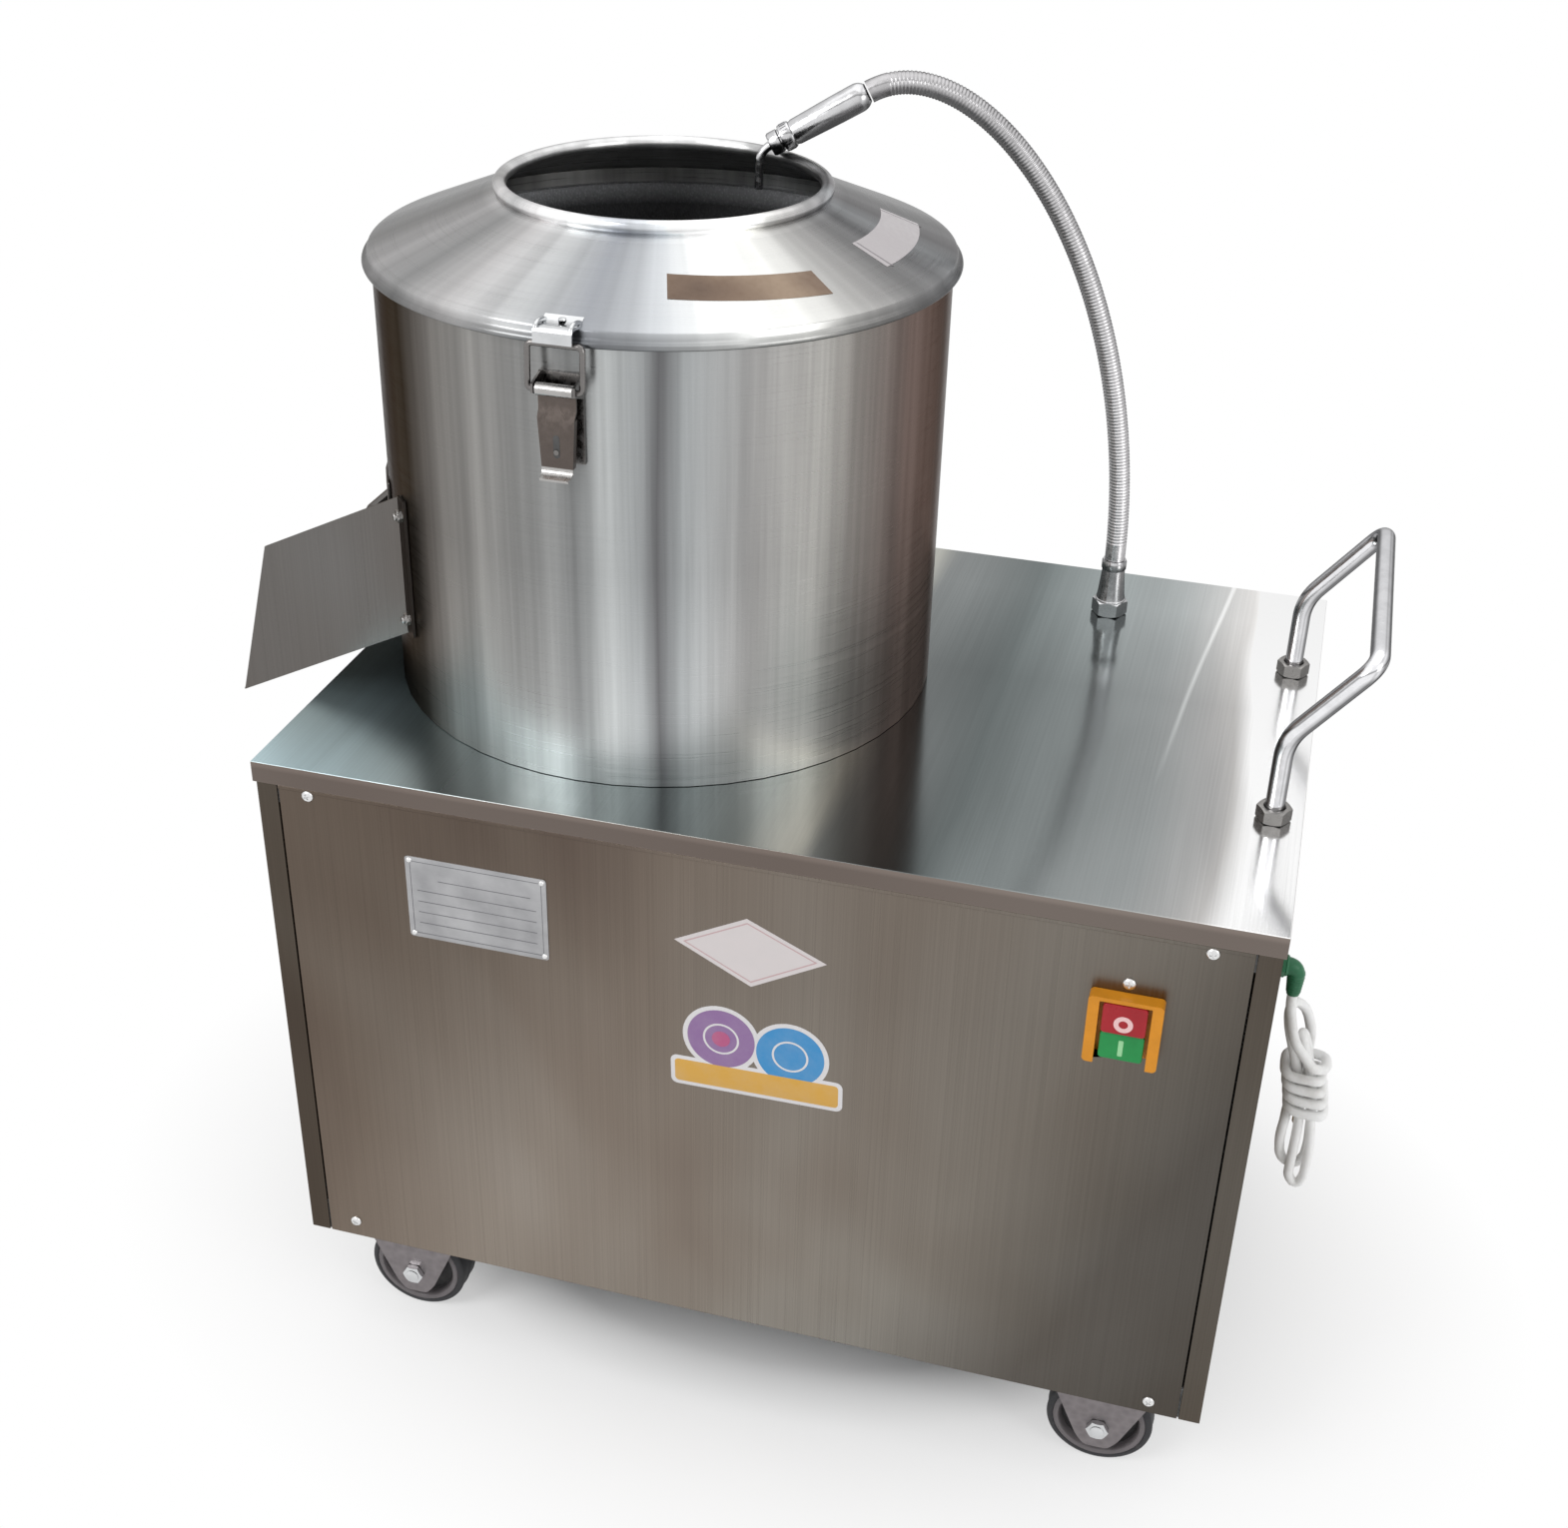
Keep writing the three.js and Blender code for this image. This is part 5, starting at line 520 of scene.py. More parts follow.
finishes("brushed_steel", barrel=barrel_steel(), lid=lid_steel(), top=tabletop_steel())
finishes("panel_steel",
         panel=panel_steel("panel_steel", front=True),
         # The side sheets and the chute are darker copies of the panel steel: painted shade, and for the chute also a
         # cooler tint.
         side=panel_steel("side_steel", (0.85, 0.83, 0.80)),
         chute=panel_steel("chute_steel", (0.80, 0.86, 0.95)))
# The contrast of each of these is the darkness of its painted reflections.
finishes("chrome",
         chrome=chrome("chrome", (0.66, 0.67, 0.68)),
         bar=chrome("handle_chrome", (0.88, 0.88, 0.90), 0.14, 0.7, 0.3),
         nut=chrome("nut_steel", (0.33, 0.32, 0.31), 0.3, 0.4, 0.4),
         nozzle=chrome("nozzle_chrome", (0.66, 0.66, 0.67), 0.2, 0.6, 0.3),
         # The hose's last values paint it lighter low down and darker high up.
         hose=chrome("hose_chrome", (0.64, 0.63, 0.64), 0.3, 0.4, 0.12, (1.55, 0.75, 0.62, 0.90)),
         latch=chrome("latch_steel", (0.44, 0.43, 0.42), 0.26),
         # The lever steel is painted dark as shade, against the latch steel of the lever's roll and hook.
         lever=chrome("lever_steel", (0.12, 0.1, 0.09), 0.26),
         wire=chrome("wire_steel", (0.20, 0.19, 0.185), 0.25),
         screw=chrome("screw_steel", (0.80, 0.80, 0.80), 0.24),
         recess=chrome("recess_steel", (0.10, 0.10, 0.10), 0.45),
         brass=chrome("pin_brass", (0.72, 0.55, 0.28), 0.2))
finishes("zinc_steel",
         zinc=zinc("zinc_steel", (0.42, 0.43, 0.43)),
         fork=zinc("fork_zinc", (0.225, 0.205, 0.21)),
         frame=cast("frame_paint", (0.2, 0.205, 0.21), 700, 0.15))
finishes("cast_iron", cast=cast("cast_iron", (0.075, 0.08, 0.085)))
finishes("motor_paint", motor=cast("motor_enamel", (0.09, 0.15, 0.2), 600, 0.18))
finishes("belt_rubber", belt=rubber("belt_rubber", (0.018, 0.018, 0.019)))
finishes("tyre",
         tyre=rubber("tyre_rubber", (0.014, 0.014, 0.016)),
         rim=plastic("wheel_rim", (0.16, 0.145, 0.15), 0.4),
         hub=plastic("wheel_hub", (0.025, 0.023, 0.024), 0.5))
# The liner's last value is the brightness of its painted shade deep in the barrel.
finishes("grit", liner=grit("liner_grit", (0.56, 0.57, 0.59), 0.25, 0.5, 0.16))
finishes("disc_metal", disc=grit("disc_grit", (0.17, 0.174, 0.18), 0.8))
finishes("cord_plastic", cord=cord_sheath())
finishes("gland_plastic", gland=plastic("gland_plastic", (0.03, 0.16, 0.075), 0.4))
finishes("switch_yellow", yellow=plastic("switch_yellow", (0.64, 0.25, 0.012), speck=0.1))
finishes("stop_red",
         red=plastic("stop_red", (0.36, 0.012, 0.02)),
         stop_mark=plastic("pink_mark", (0.80, 0.52, 0.52), 0.4, 0.04))
finishes("start_green",
         green=plastic("start_green", (0.012, 0.25, 0.06)),
         start_mark=plastic("pale_green_mark", (0.30, 0.62, 0.32), 0.4, 0.04))
finishes("brushed_steel",
         plate=plate_metal(),
         ink=print_on("plate_ink", (0.13, 0.13, 0.14), 0.5),
         white=print_on("sticker_white", (0.66, 0.645, 0.655)),
         paper=print_on("sticker_paper", (0.47, 0.44, 0.45)),
         blush=print_on("sticker_blush", (0.62, 0.575, 0.575)),
         line=print_on("sticker_line", (0.22, 0.2, 0.21)),
         rose=print_on("sticker_rose", (0.50, 0.33, 0.34)),
         violet=print_on("sticker_violet", (0.24, 0.13, 0.30)),
         magenta=print_on("sticker_magenta", (0.42, 0.08, 0.20)),
         blue=print_on("sticker_blue", (0.03, 0.24, 0.52)),
         gold=print_on("sticker_gold", (0.60, 0.33, 0.05)),
         bronze=strip_bronze())


# Shapes. A Shape gathers vertices, in millimetres, and faces. A bevel softens the edges from BEVEL_FROM degrees.

BEVEL_FROM = 41
BODY_OF = {node: body for body, nodes in frame["record"]["behaviour"]["bodies"].items() for node in nodes}


class Shape:
    def __init__(self):
        self.verts, self.faces = [], []

    def add(self, verts, faces, place=Matrix.Identity(4)):
        start = len(self.verts)
        self.verts += [place @ Vector(v) for v in verts]
        self.faces += [tuple(start + i for i in face) for face in faces]
        return self

    def put(self, other, place=Matrix.Identity(4)):
        return self.add(other.verts, other.faces, place)

    def rings(self, rings, closed=False, caps=False):
        """A skin over rings of as many points each. Closed joins the last ring to the first."""
        count = len(rings[0])
        faces = []
        for i in range(len(rings) if closed else len(rings) - 1):
            a, b = i * count, (i + 1) % len(rings) * count
            for j in range(count):
                k = (j + 1) % count
                faces.append((a + j, a + k, b + k, b + j))
        if caps:
            last = (len(rings) - 1) * count
            faces += [tuple(reversed(range(count))), tuple(range(last, last + count))]
        return self.add([v for ring in rings for v in ring], faces)


def shape_of(mesh, place=Matrix.Identity(4)):
    return Shape().add([v.co for v in mesh.vertices], [tuple(p.vertices) for p in mesh.polygons], place)


def skin(rings):
    return Shape().rings(rings, caps=True)


def circle(r, z, steps):
    turns = [2 * math.pi * i / steps for i in range(steps)]
    return [(r * math.cos(a), r * math.sin(a), z) for a in turns]


def arc(cx, cz, r, start, end, steps=6):
    turns = [math.radians(start + (end - start) * i / steps) for i in range(steps + 1)]
    return [(cx + r * math.cos(a), cz + r * math.sin(a)) for a in turns]


def lathe(profile, steps=48, closed=False):
    """Turns a profile of (radius, height) round the Z axis."""
    return Shape().rings([circle(r, z, steps) for r, z in profile], closed)


def mirrored(profile):
    """A profile followed by its mirror image in height, turned round the Z axis."""
    return lathe(profile + [(r, -z) for r, z in reversed(profile)], 72, closed=True)


def stud(*profile, steps=20):
    """A small turned piece whose profile begins and ends on the axis."""
    return lathe([(0, profile[0][1]), *profile], steps)


def tube(points, radius, sides=16, inner=None):
    """A round bar along points. The radius may be one number or one for each point."""
    points = [Vector(p) for p in points]
    last = len(points) - 1
    radii = radius if isinstance(radius, list) else [radius] * len(points)
    along = [(points[min(i + 1, last)] - points[max(i - 1, 0)]).normalized() for i in range(last + 1)]
    side = along[0].orthogonal().normalized()
    frames = []
    for way in along:
        side = (side - way * side.dot(way)).normalized()
        frames.append((side, way.cross(side)))

    def ring(i, r):
        a_side, b_side = frames[i]
        turns = [2 * math.pi * j / sides for j in range(sides)]
        return [points[i] + a_side * r * math.cos(a) + b_side * r * math.sin(a) for a in turns]

    outer = [ring(i, radii[i]) for i in range(last + 1)]
    if inner is None:
        return skin(outer)
    return Shape().rings(outer + [ring(i, inner) for i in reversed(range(last + 1))], closed=True)


def bent(corners, bend, steps=8):
    """A line with each corner rounded, starting the bend at the given distance from it."""
    corners = [Vector(c) for c in corners]
    points = [corners[0]]
    for before, corner, after in zip(corners, corners[1:], corners[2:]):
        a = corner + (before - corner).normalized() * bend
        b = corner + (after - corner).normalized() * bend
        for i in range(steps + 1):
            t = i / steps
            points.append(a * (1 - t) ** 2 + corner * 2 * t * (1 - t) + b * t * t)
    points.append(corners[-1])
    return points


def hex_nut(r, height, bore=0.0, steps=48):
    """A nut with its corners chamfered, standing on zero."""
    flat = r * math.cos(math.pi / 6)
    chamfer, slope = 0.8, 0.58

    def ring(z, way):
        out = []
        for i in range(steps):
            a = 2 * math.pi * i / steps
            hexagon = flat / math.cos((a % (math.pi / 3)) - math.pi / 6)
            out.append((hexagon * math.cos(a), hexagon * math.sin(a), z + way * (hexagon - flat) * slope))
        return out

    rings = [circle(flat, 0, steps), ring(0, 1), ring(height, -1), circle(flat, height, steps)]
    if not bore:
        return skin(rings)
    rings += [circle(bore + chamfer, height, steps), circle(bore, height - chamfer, steps), circle(bore, 0, steps)]
    return Shape().rings(rings, closed=True)


def box(x0, y0, z0, x1, y1, z1):
    verts = [(x, y, z) for x in (x0, x1) for y in (y0, y1) for z in (z0, z1)]
    return Shape().add(verts, [(0, 1, 3, 2), (4, 6, 7, 5), (0, 4, 5, 1), (2, 3, 7, 6), (0, 2, 6, 4), (1, 5, 7, 3)])


def rounded_ring(half_width, half_height, r, z, steps=6):
    out = []
    for quarter, (sx, sy) in enumerate(((1, 1), (-1, 1), (-1, -1), (1, -1))):
        for i in range(steps + 1):
            a = math.pi / 2 * (quarter + i / steps)
            out.append((sx * (half_width - r) + r * math.cos(a), sy * (half_height - r) + r * math.sin(a), z))
    return out


def rounded_plate(width, height, corner, thick):
    """A flat plate with round corners and a softened front edge, lying on zero and facing +Z."""
    soft = min(thick / 2, 0.4)
    rings = []
    for inset, z in ((0, 0), (0, thick - soft), (soft * 0.3, thick - soft * 0.3), (soft, thick)):
        rings.append(rounded_ring(width / 2 - inset, height / 2 - inset, max(corner - inset, 0.05), z))
    return skin(rings)


def to_mesh(shape, name, place=None, merge=1e-6, flat=None):
    """A shape's mesh. Faces that meet at less than the flat angle, in degrees, become one."""
    mesh = bpy.data.meshes.new(name)
    mesh.from_pydata([tuple(place @ v) if place else tuple(v) for v in shape.verts], [], shape.faces)
    work = bmesh.new()
    work.from_mesh(mesh)
    bmesh.ops.remove_doubles(work, verts=work.verts, dist=merge)
    if flat:
        bmesh.ops.dissolve_limit(work, angle_limit=math.radians(flat), verts=work.verts, edges=work.edges)
    bmesh.ops.recalc_face_normals(work, faces=work.faces)
    work.to_mesh(mesh)
    work.free()
    return mesh


def carved(shape, cutter, name):
    """A shape with another one cut out of it."""
    first = bpy.data.objects.new(name, to_mesh(shape, name))
    second = bpy.data.objects.new(name + "_cut", to_mesh(cutter, name + "_cut"))
    for obj in (first, second):
        scene.collection.objects.link(obj)
    cut = first.modifiers.new("cut", "BOOLEAN")
    cut.operation, cut.object, cut.solver = "DIFFERENCE", second, "EXACT"
    bpy.context.view_layer.update()
    result = bpy.data.meshes.new_from_object(first.evaluated_get(bpy.context.evaluated_depsgraph_get()))
    out = shape_of(result)
    for obj in (first, second):
        bpy.data.objects.remove(obj)
    bpy.data.meshes.remove(result)
    return out


def show(name, mesh, finish, body, stands_for=None, slot=None, sharp=38, bevel=0.0, segments=2):
    """Shows a mesh. Edges sharper than the sharp angle, in degrees, stay sharp. The bevel is in millimetres."""
    material, usual_slot = FINISH[finish]
    obj = bpy.data.objects.new(name, mesh)
    scene.collection.objects.link(obj)
    mesh.materials.clear()
    mesh.materials.append(material)
    mesh.shade_smooth()
    mesh.set_sharp_from_angle(angle=math.radians(sharp))
    if bevel:
        edge = obj.modifiers.new("edges", "BEVEL")
        edge.width, edge.segments = bevel / 1000, segments
        edge.limit_method, edge.angle_limit = "ANGLE", math.radians(BEVEL_FROM)
        edge.harden_normals = edge.use_clamp_overlap = True
    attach(obj, body)
    if stands_for:
        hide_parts(stands_for)
    return obj


def made(name, shape, finish, body="cabinet", place=None, **more):
    """Shows a shape drawn in millimetres. Without a place, it is drawn in the cabinet's own coordinates."""
    return show(name, to_mesh(shape, name, place or spot(0, 0, 0)), finish, body, **more)


def dressed(node, finish, bevel=0.4, segments=2, cut=None, flat=0.5, slot=None):
    """A cleaned copy of a CAD node's mesh, with softened edges, in place of the node."""
    source, name = frame["nodes"][node], node + "_shown"
    mesh = to_mesh(shape_of(source.data, source.matrix_world), name, merge=1e-5, flat=flat)
    if cut:
        mesh = to_mesh(carved(shape_of(mesh), Shape().put(cut, spot(0, 0, 0)), node), name)
    return show(name, mesh, finish, BODY_OF[node], node, slot, bevel=bevel, segments=segments)


# Power cord, plug and gland

CORD_LENGTH, CORD_THICK = 0.99, 0.007
PLUG_PLACE = (380, -123, 341)
GLAND_X, GLAND_Y, GLAND_Z = 348.5, -150, 435


def make_cord():
    curve = bpy.data.curves.new("power_cord", "CURVE")
    curve.dimensions = "3D"
    curve.bevel_depth, curve.bevel_resolution = CORD_THICK / 2, 4
    curve.resolution_u = 3
    curve.use_fill_caps = True
    line = curve.splines.new("BEZIER")
    line.bezier_points.add(len(ROUTE) - 1)
    for point, place in zip(line.bezier_points, ROUTE):
        point.co = place
        point.handle_left_type = point.handle_right_type = "AUTO"
    material, slot = FINISH["cord"]
    curve.materials.append(material)
    cord = bpy.data.objects.new("power_cord", curve)
    scene.collection.objects.link(cord)
    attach(cord, "cabinet")
    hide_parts("cord_lead", "cord_hank")

    outline = ((-36, 8.8, 9.3, 3), (-35, 9.7, 10.2, 3.6), (-24, 10, 10.5, 4), (-16, 9.4, 9.8, 4), (-11, 7.2, 7.4, 4),
               (-8, 5.6, 5.7, 4), (-2, 5.0, 5.0, 4.4), (0, 4.4, 4.4, 4.0))
    moulded = skin([rounded_ring(half_w, half_t, corner, z) for z, half_w, half_t, corner in outline])
    for z in (-3, -5.4, -7.8):
        moulded.put(lathe(arc(5.2, z, 0.7, -90, 90), 24))
    plug = made("plug_body", moulded, "cord", place=spot(*PLUG_PLACE), stands_for="plug")
    pins = Shape()
    for side in (-6, 6):
        pins.put(stud((1.5, -53), (2.2, -51.6), (2.2, -35.5), (0, -35.5)), moved(0, side, 0))
    plug_pins = made("plug_pins", pins, "brass", place=spot(*PLUG_PLACE))


def make_gland():
    """The gland's nut on the right panel, and its sleeve, which tapers down the cord and has ribs."""
    root, tip_drop, root_r, taper, rib_length, rib_rise = GLAND_X + 13, 21.6, 6.3, 1.9, 0.55, 0.45
    place = moved(GLAND_X, GLAND_Y, GLAND_Z, TO_RIGHT)
    body = Shape().put(hex_nut(8.5, 5.4), place)
    body.put(lathe([(0, 5.2), (7.2, 5.2), (7.6, 6.0), (6.6, 7.2), (0, 7.2)], 36), place)
    corners = ((GLAND_X + 5, GLAND_Z), (root, GLAND_Z), (root, GLAND_Z - tip_drop))
    line = bent([(x, GLAND_Y, z) for x, z in corners], 7, 12)
    fine = []
    for a, b in zip(line, line[1:]):
        steps = max(1, int((b - a).length / rib_length))
        fine += [a.lerp(b, i / steps) for i in range(steps)]
    fine.append(line[-1])
    radii = []
    for i in range(len(fine)):
        share = i / (len(fine) - 1)
        rib = rib_rise if i // 2 % 2 == 0 and 0.25 < share < 0.94 else 0.0
        radii.append(root_r - taper * share + rib)
    body.put(tube(fine, radii, 20))
    made("gland_sleeve", body, "gland", stands_for="cord_gland", sharp=50)


make_cord()
make_gland()


# Cabinet

dressed("tabletop", "top", 1.0, 3)
for node in ("left_side_panel", "right_side_panel"):
    dressed(node, "side", 0.6)
dressed("front_panel", "panel", 0.6)
dressed("back_panel", "panel", 0.5)
for node in ("base_frame", "upper_frame", "drive_plate", "motor_bracket"):
    dressed(node, "frame", 0.5)


# Barrel, lid, chute and door

dressed("barrel_shell", "barrel", 0.3, flat=0.2)
dressed("barrel_floor", "zinc", 0.3, flat=0.2, slot="brushed_steel")
dressed("barrel_liner", "liner", 0.3, flat=0.2)
dressed("chute", "chute", 0.3)
dressed("discharge_door", "chute", 0.4)
dressed("door_hinge", "zinc", 0.3)
dressed("peeling_disc", "disc", 0.6, flat=0.2)

CONE_SLOPE = 34 / (CONE_FOOT_R - CONE_NECK_R)


def cone_z(r):
    return CONE_FOOT + 1.5 + (CONE_FOOT_R - r) * CONE_SLOPE


def make_lid():
    """The lid's sheet: a bead round its seam, the skirt, the cone and the rolled mouth."""
    seam, skirt_in, bead_middle, bead_r = 828.6, 198.1, 201.2, 2.3
    mouth_r, mouth_z, roll_r = 109.9, 877.2, 4.6
    cone_start, steps = CONE_FOOT_R - 1.4, 14
    profile = [(skirt_in, seam), (bead_middle, seam)] + arc(bead_middle, seam + bead_r, bead_r, -60, 80, 8)
    profile += [(CONE_FOOT_R + 0.9, seam + 5.2), (CONE_FOOT_R + 0.15, seam + 6.4), (CONE_FOOT_R, CONE_FOOT + 0.2),
                (CONE_FOOT_R - 0.35, CONE_FOOT + 1.1), (cone_start, CONE_FOOT + 1.9)]
    for i in range(1, steps):
        r = cone_start - (cone_start - CONE_NECK_R) * i / steps
        profile.append((r, cone_z(r)))
    profile += [(CONE_NECK_R + 1.2, 872.6)] + arc(mouth_r, mouth_z, roll_r, -52, 232, 20)
    profile += [(CONE_NECK_R - 1.5, CONE_FOOT + 34), (skirt_in - 1.5, CONE_FOOT), (skirt_in, CONE_FOOT - 0.3)]
    made("lid_shell", lathe(profile, 160, closed=True), "lid", "lid", spot(BARREL_X, BARREL_Y, 0), stands_for="lid",
         sharp=50)


make_lid()


# Latches

PIVOT_OUT, PIVOT_Z = 12, 803.3


def strip(line, thick):
    """A strip of sheet along (half width, out, up), with its thickness across the line."""
    rings = []
    for i, (half, out, up) in enumerate(line):
        before, after = line[max(i - 1, 0)], line[min(i + 1, len(line) - 1)]
        way = Vector((0, after[1] - before[1], after[2] - before[2])).normalized()
        lift = Vector((1, 0, 0)).cross(way) * thick / 2
        middle, side = Vector((0, out, up)), Vector((half, 0, 0))
        rings.append([middle + lift - side, middle + lift + side, middle - lift + side, middle - lift - side])
    return skin(rings)


def make_latch(side, degrees):
    """A toggle latch, drawn across, out from its pivot and up."""
    out, along = round_barrel(degrees)
    pivot = Vector((BARREL_X, BARREL_Y, PIVOT_Z)) + out * (BARREL_R + PIVOT_OUT)
    place = spot(*pivot, Matrix((along, out, Vector((0, 0, 1)))).transposed())

    half, high, lean, foot = 17.7, 27.8, -2.0, -0.4
    corners = [(13, 0, foot), (half, 0, foot), (half, lean, high), (-half, lean, high), (-half, 0, foot),
               (-13, 0, foot)]
    wire = tube(bent(corners, 3.5, 6), 2.0, 14)
    made(side + "_latch_wire", wire, "wire", side + "_bail", place, stands_for=side + "_latch_bail")

    lever = BODY_OF[side + "_latch_lever"]
    plate = strip([(12.3, -3.2, 0), (12.3, -3.2, -13.5), (12.1, 0, -18), (10.3, 0, -50)], 1.6)
    cheek_thick, cheek_out, cheek_in = 0.8, 0.2, -4.2
    for x in (-1, 1):
        plate.put(skin([[(x * (w - cheek_thick), cheek_out, up), (x * w, cheek_out, up), (x * w, cheek_in, up),
                         (x * (w - cheek_thick), cheek_in, up)] for w, up in ((12.1, -18.5), (10.35, -50))]))
    made(side + "_lever_plate", plate, "lever", lever, place, stands_for=side + "_latch_lever")
    r, half = 4.0, 12.4
    ends = [(r - 0.5, -half), (r, -half + 0.5), (r, half - 0.5), (r - 0.5, half), (0, half)]
    # The roll and hook are one sheet with the plate but drawn in a lighter steel: painted light on them, and painted
    # shade on the plate.
    painted_lit_ends = Shape().put(stud(*ends, steps=28), moved(0, 0, 0, TO_RIGHT))
    hook = [(10.3, 0, -49.9), (10.2, 0.3, -52), (10.0, 1.6, -54), (9.8, 4.2, -55.2), (9.4, 7.4, -55.8)]
    painted_lit_ends.put(strip(hook, 1.6))
    made(side + "_lever_ends", painted_lit_ends, "latch", lever, place)
    # A dark patch on the lever stands for its slot: painted shade.
    slot = Shape().put(rounded_plate(4.2, 15, 2.1, 0.3), moved(0, 0.72, -36, TO_BACK))
    made(side + "_lever_slot", slot, "recess", lever, place)
    pin = Shape().put(stud((1.9, 0), (1.7, 0.8), (0, 1.3)), moved(0, 0.9, -39.5, TO_BACK))
    made(side + "_lever_pin", pin, "wire", lever, place)

    catch = strip([(12.5, *point) for point in ((-20.5, 39.7), (-13.4, 36.9), (-9.6, 36.9), (-6.5, 37.6), (-2, 38.0),
                                                (0.4, 37.2), (1.5, 35.2), (1.7, 29.2))], 1.5)
    for x in (-11.3, 11.3):
        ear = [(x, -16, 38.3), (x, -12, 39.6), (x, -4, 40.6), (x, -0.5, 39.6), (x, 0.5, 37.9)]
        catch.put(tube(bent(ear, 1.5, 4), 1.5, 12))
    catch.put(stud((2.6, 0), (2.3, 0.9), (0, 1.5)), moved(0, -16, 38.9))
    made(side + "_lid_catch", catch, "chrome", "lid", place, stands_for=side + "_latch_keeper")


for side, degrees in (("front", -90), ("back", 90)):
    make_latch(side, degrees)
    dressed(side + "_latch_base", "wire", 0)


# Water fitting, gooseneck and nozzle

HOSE_X, HOSE_Y, HOSE_FOOT = 182.6, 170.5, 568.6
HOSE_REACH, HOSE_RISE = 210, 401.3
HOSE_HEADING, HOSE_DIP = math.radians(199.36), math.radians(28.5)
HOSE_R, HOSE_BORE, RIBS, PER_RIB = 7.4, 5.5, 178, 4


def hose_line(count):
    """Points at even steps along the hose, its length, its end and its way there."""
    way = Vector((math.cos(HOSE_HEADING), math.sin(HOSE_HEADING), 0))
    start = Vector((HOSE_X, HOSE_Y, HOSE_FOOT))
    end = Vector((HOSE_X, HOSE_Y, TOP + HOSE_RISE)) + way * HOSE_REACH
    end_way = way * math.cos(HOSE_DIP) - Vector((0, 0, math.sin(HOSE_DIP)))
    lift, lead, spans = 243, 85.5, 800
    lifted, led = start + Vector((0, 0, lift)), end - end_way * lead
    dense = []
    for i in range(spans + 1):
        t = i / spans
        s = 1 - t
        dense.append(start * s ** 3 + lifted * 3 * t * s ** 2 + led * 3 * t * t * s + end * t ** 3)
    lengths = [0.0]
    for a, b in zip(dense, dense[1:]):
        lengths.append(lengths[-1] + (b - a).length)
    points, j = [], 0
    for i in range(count + 1):
        goal = lengths[-1] * i / count
        while j < spans - 1 and lengths[j + 1] < goal:
            j += 1
        points.append(dense[j].lerp(dense[j + 1], (goal - lengths[j]) / (lengths[j + 1] - lengths[j])))
    return points, lengths[-1], end, end_way


def make_fitting():
    base = Shape().put(hex_nut(14, 11.7, 8), moved(0, 0, 0.3))
    cone = [(8, 9), (11.9, 9), (11.9, 12)] + arc(10.9, 12.4, 1.0, 0, 70, 4)
    cone += [(10.6, 17), (9.4, 30), (8.9, 38), (9.6, 39), (9.7, 44.6), (9.0, 46.3), (5.5, 46.3), (5.5, -24), (8, -24)]
    base.put(lathe(cone, 40, closed=True))
    made("water_fitting", base, "nozzle", place=spot(HOSE_X, HOSE_Y, TOP), stands_for="hose_fitting")


def make_nozzle(end, way):
    """The nozzle: a ball end, a long sleeve, a ridged collar and a thin bent spout."""
    ball_r, clearance, spout_start, elbow_out, spout_drop = 10, 0.3, 75, 87, 26
    inlet = end + way * (math.sqrt((ball_r + clearance) ** 2 - HOSE_BORE ** 2) - ball_r)
    shell = arc(0, ball_r, ball_r, -52, 0, 8)
    shell += [(10, 14), (9.9, 26), (9.0, 58.5), (8.4, 60), (8.4, 60.6), (9.3, 61.2), (9.6, 62.2), (9.6, 67.8),
              (9.2, 69), (7.6, 69.4), (7.6, 70.2), (8.3, 71), (8.3, 77), (7.4, 78.4), (3.1, 78.8), (2.0, 78.8),
              (2.0, 76), (5.5, 74), (5.5, 3)]
    head = lathe([(max(r, HOSE_BORE) if z < 74 else r, z) for r, z in shell], 40, closed=True)
    for turn in range(24):
        head.put(box(-0.45, 9.3, 62.6, 0.45, 9.95, 67.4), Matrix.Rotation(turn * math.pi / 12, 4, "Z"))
    body = Shape().put(head, moved(*inlet, facing(way)))
    elbow = inlet + way * elbow_out
    line = bent([inlet + way * spout_start, elbow, elbow - Vector((0, 0, spout_drop))], 9, 12)
    body.put(tube(line, 3.1, 24, inner=2.1))
    made("nozzle_body", body, "nozzle", "nozzle", stands_for="spray_nozzle")


def make_gooseneck():
    points, length, end, way = hose_line(RIBS * PER_RIB)
    wave, cuff, cuff_rise = (0.0, 0.42, 0.6, 0.42), 14, 0.45
    radii = []
    for i in range(len(points)):
        from_end = min(i, len(points) - 1 - i) * length / (RIBS * PER_RIB)
        radii.append(HOSE_R + (wave[i % PER_RIB] if from_end > cuff else cuff_rise))
    made("gooseneck_ribs", tube(points, radii, 20, inner=HOSE_BORE), "hose", stands_for="gooseneck_hose", sharp=80)
    make_fitting()
    make_nozzle(end, way)


make_gooseneck()


# Handle

def make_handle():
    bar_r, half, inner_x, outer_x, knee, rise = 6.5, 109, 330, 379, TOP + 61, TOP + 123
    foot = TOP_FACE + bar_r
    line = [(inner_x, -half, foot), (inner_x, -half, knee), (outer_x, -half, rise)]
    line += [(x, -y, z) for x, y, z in reversed(line)]
    made("handle_bar", tube(bent(line, 14, 10), bar_r, 28), "bar", stands_for="push_handle")
    for name, y in (("front", -half), ("back", half)):
        made(f"handle_{name}_hex", hex_nut(12, 9.6, 6.8), "nut", place=spot(inner_x, y, TOP_FACE),
             stands_for=f"handle_nut_{name}")


make_handle()


# Switch

